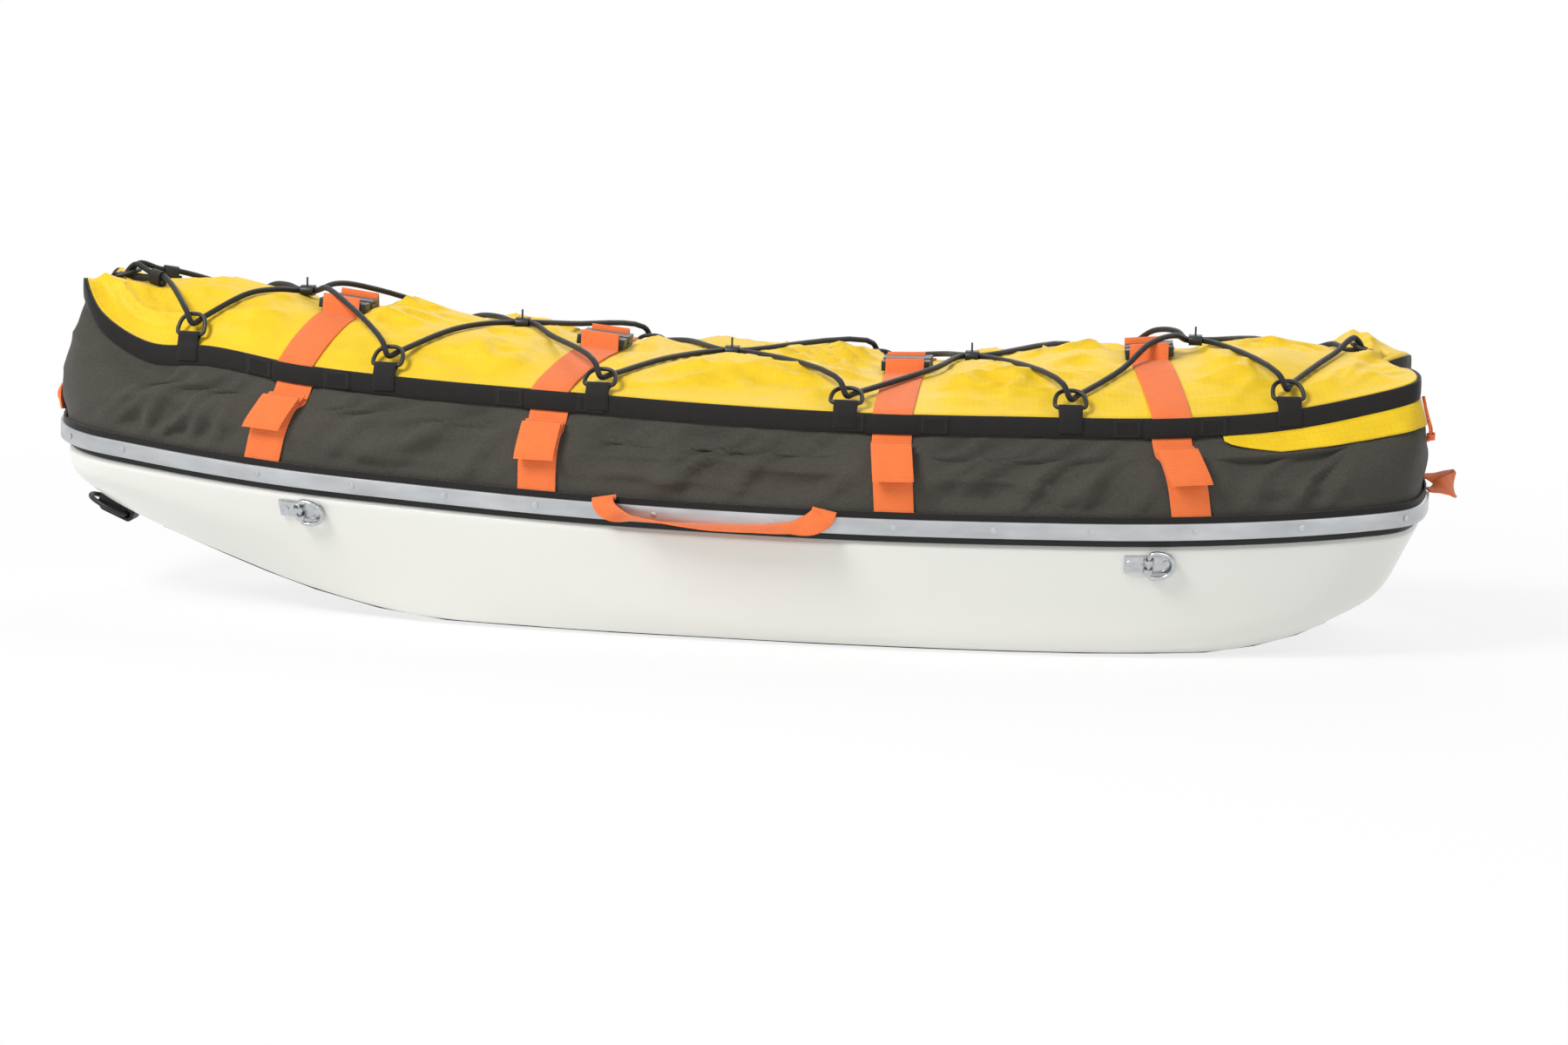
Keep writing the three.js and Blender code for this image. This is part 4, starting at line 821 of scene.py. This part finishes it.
def cover_cloth_piece():
    """The yellow cover: folds rise where nothing presses on it and stay below the straps and the cord."""
    half = COLUMNS // 2 + 1
    shares = np.linspace(0, 1, 48)
    rows = [off(band, -2.8, 0)] + [dome_row(s, COVER_OUT) for s in shares]
    near = np.array(rows)[:, :half]
    grid = np.concatenate([near, near[::-1][1:] * (1, -1, 1)], 0)
    normal = normals_of(grid)
    normal *= np.sign(normal[len(grid) // 2, :, 2].sum())
    reach = np.repeat(np.concatenate([[0], shares, shares[::-1][1:], [0]])[:, None], half, 1)
    open_cloth = ease(reach, 0.03, 0.4)
    for k, (_, edge, upper) in enumerate(STRAPS):
        x = np.interp(reach, [0, 0.6, 1], [edge, upper, upper]) * HALF_LENGTH
        open_cloth = open_cloth * (0.04 + 0.96 * ease(np.abs(grid[..., 0] - x), 25, 68))
    path = along(cord_path(), np.linspace(0, len(cord_path()) - 1, 500))
    valley = np.full(grid.shape[:2], 60.0)
    corner = np.exp(-((grid[..., 0] - 640) ** 2 + (grid[..., 1] - 92) ** 2) / 2 / 34**2)
    slope = 0.25 + 0.4 * corner
    for x, y, z in path:
        away = np.hypot(grid[..., 0] - x, grid[..., 1] - y)
        valley = np.minimum(valley, np.clip(z - 4.4 - grid[..., 2], 0, None) + np.clip(away - 4, 0, None) * slope)
    warp = folds(grid, (5, 8, 5), 2.2)[..., None] * np.array((46, 24, 0))
    long_folds = 1 - np.abs(folds(grid + warp, (6, 24, 4), 4.4)) * 3.2
    cross_folds = 1 - np.abs(folds(grid - warp, (19, 13, 4), 9.1)) * 3.2
    crinkle = 1 - np.abs(folds(grid + warp * 0.5, (38, 48, 8), 3.3)) * 2.6
    swell = folds(grid, (7, 9, 4), 6.6)
    depth = size_of("cover_folds")
    folded = (
        0.5 * swell + 1.0 * np.clip(long_folds, 0, 1) ** 1.4 + 0.75 * np.clip(cross_folds, 0, 1) ** 1.4
        + 0.32 * np.clip(crinkle, 0, 1)
    )
    height = np.minimum((0.2 + folded) * depth * open_cloth + 20 * corner, valley)
    obj = sheet_of("cover_cloth", grid + normal * height[..., None])
    thicken(obj, COVER_SHEET, -1)
    dress(obj, FINISHES["cover"], stands_for=["cover"])
    return obj


def storm_flap():
    """The yellow flap whose hemmed lower edge shows below the band round the stern."""
    first = int(column_at(band, 0.72 * HALF_LENGTH, -1))
    columns = np.arange(first, COLUMNS - first + 1)
    rows = wall_rows(bag_levels(CLOTH + 1.6), np.linspace(5, 4, 9))[:, columns]
    ends = np.minimum(columns - first, COLUMNS - first - columns) / 9
    wave = 2.2 * np.sin(columns * 0.19) + 1.5 * np.sin(columns * 0.43 + 1)
    taper = np.clip(ends, 0, 1) ** 0.6
    lower = np.linspace(0, 1, 9)[:, None, None]
    rows = rows[0] + (rows[-1] - rows[0]) * (lower * (0.25 + 0.75 * taper)[:, None])
    rows = rows + band[1][columns] * (np.abs(wave) * 0.5)[:, None] * lower
    obj = thicken(sheet_of("storm_flap_cloth", rows), COVER_SHEET)
    dress(obj, FINISHES["cover"], stands_for=["storm_flap"])
    return obj


# Webbing


def raise_at_straps():
    """How far the band stands off the bag, lifting smoothly over each strap."""
    out = np.full(COLUMNS, 0.3)
    places = band[0]
    for _, edge, _ in strap_lines().values():
        gap = np.linalg.norm(places - pick(places, edge), axis=1)
        out = np.maximum(out, 0.3 + 2.8 * ease(-gap, -32, -21))
    return out


def band_web():
    """The black lacing band, with its patches and its tabs with rings."""
    out = raise_at_straps()
    rows = np.array([off(band, out + bulge, z) for z, bulge in ((-10, 0), (-5, 0.4), (0, 0.5), (5, 0.4), (10, 0))])
    strip = thicken(sheet_of("band_web", rows, close_columns=True), BAND_SHEET, 1)
    soften(strip, 0.5, 2, 50)
    dress(strip, FINISHES["black_web"], stands_for=["lacing_band"])
    patches(out)
    ring_tabs(out)


def patches(out):
    """Box stitched webbing patches on the band beside each strap."""
    parts = []
    spots = []
    for _, edge, _ in strap_lines().values():
        step = np.linalg.norm(band[0][int(edge) + 1] - band[0][int(edge)])
        spots += [edge - 42 / step, edge + 42 / step]
    for n, centre in enumerate(spots):
        step = np.linalg.norm(band[0][int(centre) + 1] - band[0][int(centre)])
        columns = centre + np.linspace(-15, 15, 9) / step
        rows = []
        for z in np.linspace(-9.2, 9.2, 5):
            face = off(band, out + 2.6, z)
            rows.append([pick(face, c) for c in columns])
        obj = sheet_of(f"patch_{n}", np.array(rows))
        spot = obj.data.attributes.new("patch", "FLOAT_VECTOR", "POINT")
        grid = np.stack(np.broadcast_arrays(np.linspace(-1, 1, 9)[None, :], np.linspace(-1, 1, 5)[:, None], 0.0), 2)
        spot.data.foreach_set("vector", grid.astype(np.float32).ravel())
        parts.append(thicken(obj, PATCH_SHEET))
    dress(soften(joined("band_patches", parts), 0.3, 1, 50), FINISHES["stitched"])


def ring_outline(width, reach):
    """A rounded D, flat on the side that its tab holds."""
    half = [(0.62, 0), (0.86, 0.02), (0.98, 0.12), (1, 0.26), (0.98, 0.45), (0.86, 0.72), (0.62, 0.9), (0.32, 0.99)]
    right = [(x * width / 2, y * reach) for x, y in half]
    return np.array(right + [(0, reach)] + [(-x, y) for x, y in right[::-1]] + [(0, 0)])


def ring_frame(place, tilt, lift, out):
    """Origin, run, slope and face of a lacing ring's tab on the band."""
    row = off(band, out + 1, BAND_HALF + 3.5 + lift)
    origin = pick(row, place)
    run = unit((pick(row, place + 0.8) - pick(row, place - 0.8)) * (1, 1, 0))
    inward = np.array((-run[1], run[0], 0))
    slope = inward * math.cos(tilt) + np.array((0, 0, math.sin(tilt)))
    return origin, run, slope, np.cross(run, slope)


def ring_places():
    """Column, tilt and lift of every lacing ring: six on each side, then the bow's and the stern's."""
    places = []
    for side in (-1, 1):
        for share in RINGS:
            place = column_at(band, share * HALF_LENGTH, side)
            low, high = pick(dome_row(0, COVER_OUT), place), pick(dome_row(0.16, COVER_OUT), place)
            climb = math.atan2(high[2] - low[2], math.hypot(high[0] - low[0], high[1] - low[1]))
            places.append((place, climb + math.radians(22), 0))
    return places + [(0.0, math.radians(16), 0), (COLUMNS / 2.0, math.radians(25), 6)]


def ring_tabs(out):
    """The wire rings and the webbing tabs that fold over their straight sides."""
    wire = size_of("ring_wire")
    rings, tabs = [], []
    for n, (place, tilt, lift) in enumerate(ring_places()):
        origin, run, slope, face = ring_frame(place, tilt, lift, out)
        shape = along(ring_outline(36 - wire, 27 - wire), np.arange(0, 18, 0.34), True)
        path = origin + np.outer(shape[:, 0], run) + np.outer(shape[:, 1] + 9, slope)
        rings.append(tube(f"ring_{n}", path, wire, 12, closed=True))
        drop = BAND_HALF + 3.5 + lift
        outward = np.cross(run, (0, 0, 1.0))
        if np.dot(outward, pick(band[1], place)) < 0:
            outward = -outward
        wrap = [
            origin - (0, 0, drop + 6) + outward * 2.1, origin - (0, 0, drop * 0.4) + outward * 2.1,
            origin + outward * 0.9 + slope, origin + slope * 9 + face * 3.1, origin + slope * 11.6,
            origin + slope * 9 - face * 3.1, origin - outward * 1.2 + slope * 0.5,
            origin - (0, 0, drop * 0.6) - outward * 0.2,
        ]
        if np.dot(face, outward) < 0:
            wrap[3], wrap[5] = wrap[5], wrap[3]
        line = along(np.array(wrap), np.linspace(0, 7, 40))
        width = np.linspace(-12, 12, 5)
        grid = line[None] + run[None, None] * width[:, None, None]
        tabs.append(thicken(sheet_of(f"tab_{n}", grid), TAB_SHEET))
    dress(joined("band_rings", rings), FINISHES["plastic"])
    dress(soften(joined("band_tabs", tabs), 0.3, 1, 50), FINISHES["black_web"])


def ribbon(name, centres, ways, width, thick, rows=5):
    """Webbing laid along centre points, with its width along the given ways, all in millimetres."""
    spread = np.linspace(-0.5, 0.5, rows) * width
    grid = np.array([centres + ways * w for w in spread])
    return soften(thicken(sheet_of(name, grid), thick), thick * 0.3, 2, 60)


def strap_run(k, side):
    """Centre line and width ways of a load strap, from the hem to its buckle and over the buckle's end bar."""
    foot, edge, upper = strap_lines()[k, side]
    thick = size_of("strap_thick")
    lift = 0.8 + thick / 2
    climb = np.concatenate([np.linspace(0, STRAP_DIVE, 20), np.linspace(5, 6, 4)])
    rows = wall_rows(bag_levels(CLOTH + lift), climb)
    centres, ways = [], []
    for q, row in zip(climb, rows):
        place = foot + (edge - foot) * np.interp(q, range(7), CLIMB)
        centres.append(pick(row, place))
        ways.append(unit(pick(row, place + 1) - pick(row, place - 1)))
    part = "tongue" if side < 0 else "body"
    low, high = [np.array(corner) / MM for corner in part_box(f"buckle_{part}_{k + 1}")]
    end = low[1] if side < 0 else high[1]
    width = abs(dome_row(0, COVER_OUT)[int(upper)][1])
    stop = 1 - abs(end) / width if end * side > 0 else 1.0
    for s in np.linspace(0.06, stop - 0.02, 20):
        row = dome_row(s, COVER_OUT)
        place = edge + (upper - edge) * min(s / 0.6, 1)
        centres.append(pick(row, place) + (0, 0, lift * 1.25))
        ways.append(unit(pick(row, place + 1) - pick(row, place - 1)))
    if end * side < 0:
        last = centres[-1]
        for share in (0.35, 0.7, 0.93):
            centres.append(last + (np.array((last[0], end, last[2])) - last) * share)
            ways.append(ways[-1])
    last = centres[-1]
    for step, rise in ((-2.0, 0.45), (0.4, 1.0), (2.6, 1.06), (4.6, 0.9), (5.6, 0.45)):
        centres.append(np.array((last[0], end - side * step, last[2] + (high[2] - last[2] + 1.0) * rise)))
        ways.append(ways[-1])
    return np.array(centres), np.array(ways)


def straps():
    """Four load straps over each side, the left ones with their folded free ends."""
    width, thick = size_of("strap_width"), size_of("strap_thick")
    for k in range(4):
        for side, name in ((-1, "left"), (1, "right")):
            centres, ways = strap_run(k, side)
            strap = ribbon(f"strap_web_{name}_{k + 1}", centres, ways, width, thick)
            dress(strap, FINISHES["orange_web"], stands_for=[f"strap_{name}_{k + 1}"])
        strap_tail(k, width, thick)


def strap_tail(k, width, thick):
    """The free end of a left strap, folded over three times and held on it."""
    centres, ways = strap_run(k, -1)
    low = int(np.argmin(np.abs(np.linspace(0, STRAP_DIVE, 20) - 2.75)))
    up = unit(centres[low + 4] - centres[low - 2])
    side = ways[low]
    out = np.cross(side, up)
    if np.dot(out, pick(rim[1], strap_lines()[k, -1][0])) < 0:
        out = -out
    origin = centres[low]
    fold = [
        (22, 0.9), (16, 2.0), (6, 2.6), (-8, 3.2), (-15, 4.2), (-16.5, 5.8), (-14, 7.2), (-4, 6.9), (8, 6.4),
        (14.5, 7.2), (15.8, 9.0), (12, 10.2), (2, 10.4), (-8, 10.2), (-17, 9.0), (-24, 6.4),
    ]
    line = along(np.array([origin + up * a + out * b for a, b in fold]), np.linspace(0, len(fold) - 1, 70))
    flare = np.linspace(1.0, 1.03, 70)[:, None]
    lean = side + up * 0.03
    tail = ribbon(f"strap_tail_{k + 1}", line, unit(lean)[None] * flare, width, thick)
    dress(tail, FINISHES["orange_web"])


def handle_frame(place, span, rise, reach_way):
    """Middle and axes of a hinge line on the rim: along it, out from it and off the handle's face."""
    row = off(rim, HINGE_OUT, rise)
    spacing = np.linalg.norm(pick(row, place + 4) - pick(row, place - 4)) / 8
    half = (span - WEB_WIDTH) / 2 / spacing
    start, end = pick(row, (place - half) % COLUMNS), pick(row, (place + half) % COLUMNS)
    x = unit(start - end)
    z = unit(np.cross(x, reach_way))
    return (start + end) / 2, x, np.cross(z, x), z


def handle(name, frame_axes, span, path, turns, body):
    """A webbing handle, by points along, out from and off its hinge, with the turn of its width at each."""
    origin, x, y, z = frame_axes
    half = [(px * (span - WEB_WIDTH) / 2, py, pz) for px, py, pz in path]
    points = np.array(half + [(-px, py, pz) for px, py, pz in half[::-1][1:]])
    angles = np.array([*turns, *(180 - turn for turn in turns[::-1][1:])], float)
    stations = np.linspace(0, len(points) - 1, 64)
    line = along(points, stations)
    tilt = np.interp(stations, range(len(angles)), angles)
    run = np.gradient(line, axis=0)
    run /= np.linalg.norm(run, axis=1, keepdims=True)
    ways = []
    for way, angle in zip(run, np.radians(tilt)):
        flat = unit(np.cross((0, 0, 1.0), way))
        normal = np.cross(way, flat)
        ways.append(flat * math.cos(angle) + normal * math.sin(angle))
    basis = np.array([x, y, z])
    width = size_of("web_width")
    web_piece = ribbon(f"{name}_web", line @ basis + origin, np.array(ways) @ basis, width, WEB_THICK)
    dress(web_piece, FINISHES["orange_web"], body, [name])


def handles():
    """The side handles, the stern handle and the small bow handle."""
    down, aft = np.array((0, 0, -1.0)), np.array((1.0, 0, 0))
    lean = np.array((-math.cos(BOW_LEAN), 0, math.sin(BOW_LEAN)))
    side_path = [
        (-1, 0.5, 1), (-0.985, 7, 7), (-0.9, 14, 13), (-0.72, 18.5, 15.5), (-0.4, 21.5, 15.5), (0, 22.5, 15.5),
    ]
    side_turns = [0, 4, 34, 72, 82, 84]
    for side, name in ((-1, "handle_left"), (1, "handle_right")):
        place = column_at(rim, 0.01 * HALF_LENGTH, side)
        handle(name, handle_frame(place, SIDE_SPAN, SIDE_RISE, down), SIDE_SPAN, side_path, side_turns, name)
    end_path = [(-1, 0.5, 0), (-0.98, 9, 0.4), (-0.85, 19, 1), (-0.55, 25, 0.6), (-0.25, 28, 0), (0, 29, 0)]
    stern_axes = handle_frame(COLUMNS / 2, STERN_SPAN, STERN_RISE, aft)
    handle("handle_stern", stern_axes, STERN_SPAN, end_path, [0, 6, 30, 60, 76, 80], "handle_stern")
    bow_path = [(-1, 0.5, 0), (-0.96, 5, 0.2), (-0.75, 11, 0.4), (-0.4, 14.5, 0.4), (0, 15.5, 0)]
    handle("handle_bow", handle_frame(0, BOW_SPAN, BOW_RISE, lean), BOW_SPAN, bow_path, [0] * 5, "handle_bow")


# Cords


def lacing():
    """The lacing cord in its braid."""
    path = cord_path()
    line = along(path, np.linspace(0, len(path) - 1, 6 * len(path)))
    diameter = size_of("cord_diameter")
    dress(tube("lacing_braid", line, diameter, 12), FINISHES["cord"], stands_for=["lacing_cord"])


def pull_cord():
    """The knotted loop of cord on the stern."""
    place = COLUMNS / 2 - 2.6 * COLUMNS / 56
    rows = wall_rows(bag_levels(CLOTH + 5.4), np.array([4.96, 4.5, 4.0, 3.5, 3.1, 2.85]))
    down, up = [[pick(row, place + way * PULL_HALF_GAP) for row in rows] for way in (-1, 1)]
    drop = down[-1] + (0, 0, -4)
    path = np.array(down + [(drop + up[-1]) / 2 + (0, 0, -1)] + up[::-1])
    line = along(path, np.linspace(0, len(path) - 1, 60))
    loop = tube("pull_loop", line, PULL_DIAMETER, 10)
    knot_at = path[len(down)]
    turns = np.linspace(0, 2 * math.pi * PULL_TURNS, 60)
    rise = np.linspace(PULL_DIAMETER, -PULL_DIAMETER, 60)
    wrap = knot_at + np.stack([np.cos(turns) * 3.0, np.sin(turns) * 3.0, rise], 1)
    knot = tube("pull_knot", wrap, PULL_DIAMETER, 8)
    dress(joined("pull_cord", [loop, knot]), FINISHES["pull"], stands_for=["stern_pull_cord"])


# Fittings


def fitting(node, suffix, finish, corner=0.0, body="sled", segments=2, levels=0):
    """Rounds a fitting's own solid and finishes it."""
    dress(rounded(node, node + suffix, corner, segments, levels), FINISHES[finish], body, [node])


def fittings():
    """The moulded and pressed parts, rounded from the frame's own solids."""
    for k in range(1, 5):
        for part in ("body", "tongue"):
            obj = rounded(f"buckle_{part}_{k}", f"buckle_{part}_moulding_{k}", 0.8, 3)
            dress(obj, FINISHES["plastic"], "sled", [f"buckle_{part}_{k}"])
        for end in ("bow", "stern"):
            node = f"buckle_latch_{k}_{end}"
            fitting(node, "_moulding", "plastic", 0.6, node)
    for end in ("bow", "stern"):
        for side in ("left", "right"):
            plate, ring = f"lashing_plate_{end}_{side}", f"lashing_ring_{end}_{side}"
            fitting(plate, "_pressing", "steel", 0.5)
            fitting(ring, "_wire", "steel", body=ring, levels=2)
    dress(rounded("tow_block", "tow_moulding", 1.2, 3), FINISHES["rubber"], "sled", ["tow_block"])
    loop = rounded("tow_loop", "tow_wire", 0, levels=2)
    dress(loop, FINISHES["plastic"], "tow_loop", ["tow_loop"])
    for side in ("left", "right"):
        runner = rounded(f"runner_{side}", f"runner_strip_{side}", 0.7, 2)
        dress(runner, FINISHES["plastic"], "sled", [f"runner_{side}"])
        fitting(f"cord_sleeve_{side}", "_moulding", "rubber", 0.5)
    for k in range(1, 6):
        fitting(f"cord_tie_{k}", "_moulding", "plastic", 0.5)


# Stage: name, place, size and power of each lamp, then the camera

LAMPS = (
    ("key", (-2.2, -2.9, 3.4), 1.6, 170.0),
    ("fill", (2.6, -2.4, 2.0), 2.0, 18.0),
    ("back", (0.4, 2.8, 2.8), 2.6, 50.0),
)
LAMP_AIM = Vector((0, 0, 0.15))
ROOM_LIGHT = 0.32
CAMERA_AIM, CAMERA_DISTANCE = Vector((0.0361, 0, 0.1005)), 4.2
LENS, SENSOR = 90.6, 36


def seen_rays(tree):
    """1 for rays that show the studio itself: from the camera, a gloss or a clear surface."""
    path = tree.nodes.new("ShaderNodeLightPath").outputs
    seen = path["Is Camera Ray"]
    for kind in ("Is Glossy Ray", "Is Transmission Ray"):
        most = tree.nodes.new("ShaderNodeMath")
        most.operation = "MAXIMUM"
        tree.links.new(seen, most.inputs[0])
        tree.links.new(path[kind], most.inputs[1])
        seen = most.outputs[0]
    return seen


def studio_floor():
    """White paper that takes shadows near the sled and glows further off."""
    deselect()
    bpy.ops.mesh.primitive_plane_add(size=60, location=(0, 15, 0))
    floor = bpy.context.object
    floor.name = "studio_floor"
    bpy.ops.object.transform_apply(location=True, rotation=True, scale=True)
    paper = Finish("studio_paper", (0.97, 0.97, 0.97), 0.9, specular=0.1)
    glow = paper.node("ShaderNodeEmission", Strength=1.0)
    away = paper.node("ShaderNodeVectorMath", {"operation": "LENGTH"}, i0=paper.place())
    far = paper.ramp(away.node.outputs["Value"], 0.75, 1.7, 0.8, 1.0)
    share = paper.maths("MULTIPLY", seen_rays(paper.tree), far)
    mixed = paper.node("ShaderNodeMixShader", i0=share, i1=paper.shader.outputs[0], i2=glow)
    output = next(n for n in paper.tree.nodes if n.type == "OUTPUT_MATERIAL")
    paper.tree.links.new(mixed, output.inputs[0])
    floor.data.materials.append(paper.made)


def studio_world():
    """White all round, but dimmer as a light, so that folds keep their shade."""
    world = bpy.data.worlds.new("studio")
    bpy.context.scene.world = world
    world.use_nodes = True
    tree = world.node_tree
    back = tree.nodes["Background"]
    back.inputs[0].default_value = (1, 1, 1, 1)
    level = tree.nodes.new("ShaderNodeMapRange")
    tree.links.new(seen_rays(tree), level.inputs[0])
    level.inputs[3].default_value, level.inputs[4].default_value = ROOM_LIGHT, 1.0
    tree.links.new(level.outputs[0], back.inputs[1])


def studio_lamps():
    for name, place, size, power in LAMPS:
        deselect()
        bpy.ops.object.light_add(type="AREA", location=place)
        lamp = bpy.context.object
        lamp.name = f"studio_{name}"
        lamp.data.size, lamp.data.energy = size, power
        lamp.rotation_euler = (LAMP_AIM - lamp.location).to_track_quat("-Z", "Y").to_euler()


def studio_camera():
    """The photograph's camera: a little aft of square to the left side, and tilted."""
    azimuth, elevation, roll = [math.radians(turn) for turn in (6, 8.5, 1.3)]
    back_way = Vector((
        math.sin(azimuth) * math.cos(elevation), -math.cos(azimuth) * math.cos(elevation), math.sin(elevation),
    ))
    deselect()
    bpy.ops.object.camera_add(location=CAMERA_AIM + back_way * CAMERA_DISTANCE)
    camera = bpy.context.object
    camera.name = "studio_camera"
    camera.data.lens, camera.data.sensor_width = LENS, SENSOR
    camera.rotation_mode = "QUATERNION"
    camera.rotation_quaternion = (-back_way).to_track_quat("-Z", "Y") @ Matrix.Rotation(roll, 3, "Z").to_quaternion()
    bpy.context.scene.camera = camera
    bpy.context.scene.view_settings.view_transform = "Standard"


def sew_bag():
    """Makes the three soft sheets, each listed with its flat size, how it is held and what it rests on."""
    for piece, length, width, held, rests in (
        (bag_wall(), 3.5, 0.16, "hung", ["hem_binding"]),
        (cover_cloth_piece(), 1.36, 0.5, "stretched", ["bag_cloth"]),
        (storm_flap(), 0.85, 0.04, "hung", ["bag_cloth"]),
    ):
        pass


class SledStep:
    """One step of the making of the sled, run as a button or in turn"""
    jobs = ()

    def execute(self, context):
        for job in self.jobs:
            job()
        return {"FINISHED"}


class SLED_OT_stage(SledStep, bpy.types.Operator):
    """Sets up the floor, lamps, camera and the finishes"""
    bl_idname = "sled.stage"
    bl_label = "Stage and finishes"
    jobs = (studio_floor, studio_world, studio_lamps, studio_camera, ink_finishes)


class SLED_OT_hull(SledStep, bpy.types.Operator):
    """Moulds the hull shell"""
    bl_idname = "sled.hull"
    bl_label = "Hull shell"
    jobs = (hull_shell,)


class SLED_OT_rim(SledStep, bpy.types.Operator):
    """Lays the rubber trim, the hem and the riveted rails round the rim"""
    bl_idname = "sled.rim"
    bl_label = "Trim, hem and rails"
    jobs = (rim_trim, hem_binding, rails)


class SLED_OT_bag(SledStep, bpy.types.Operator):
    """Sews the bag wall, the cover and the storm flap"""
    bl_idname = "sled.bag"
    bl_label = "Bag, cover and flap"
    jobs = (sew_bag,)


class SLED_OT_webbing(SledStep, bpy.types.Operator):
    """Sews the lacing band, its patches and rings, the load straps and the handles"""
    bl_idname = "sled.webbing"
    bl_label = "Band, straps and handles"
    jobs = (band_web, straps, handles)


class SLED_OT_cords(SledStep, bpy.types.Operator):
    """Threads the lacing cord and ties the pull cord"""
    bl_idname = "sled.cords"
    bl_label = "Lacing and pull cord"
    jobs = (lacing, pull_cord)


class SLED_OT_fittings(SledStep, bpy.types.Operator):
    """Finishes the buckles, lashing points, tow fitting, runners, ties and sleeves"""
    bl_idname = "sled.fittings"
    bl_label = "Buckles, rings and runners"
    jobs = (fittings,)


STEPS = (
    SLED_OT_stage, SLED_OT_hull, SLED_OT_rim, SLED_OT_bag, SLED_OT_webbing, SLED_OT_cords, SLED_OT_fittings,
)


class SLED_PT_panel(bpy.types.Panel):
    """Lists the steps and sizes of the sled"""
    bl_idname = "SLED_PT_panel"
    bl_label = "Pulk Sled"
    bl_space_type = "VIEW_3D"
    bl_region_type = "UI"
    bl_category = "Sled"

    def draw(self, context):
        for step in STEPS:
            self.layout.operator(step.bl_idname)
        for group, rows in ((context.scene.sled_sizes, SIZES), (context.scene.sled_colours, COLOURS)):
            for row in rows:
                self.layout.prop(group, row[0])


CLASSES = (SledSizes, SledColours, *STEPS, SLED_PT_panel)


def register():
    for made in CLASSES:
        bpy.utils.register_class(made)
    bpy.types.Scene.sled_sizes = bpy.props.PointerProperty(type=SledSizes)
    bpy.types.Scene.sled_colours = bpy.props.PointerProperty(type=SledColours)


def unregister():
    del bpy.types.Scene.sled_colours, bpy.types.Scene.sled_sizes
    for made in reversed(CLASSES):
        bpy.utils.unregister_class(made)


def main():
    register()
    for step in STEPS:
        area, name = step.bl_idname.split(".")
        getattr(getattr(bpy.ops, area), name)()


if __name__ == "__main__":
    main()
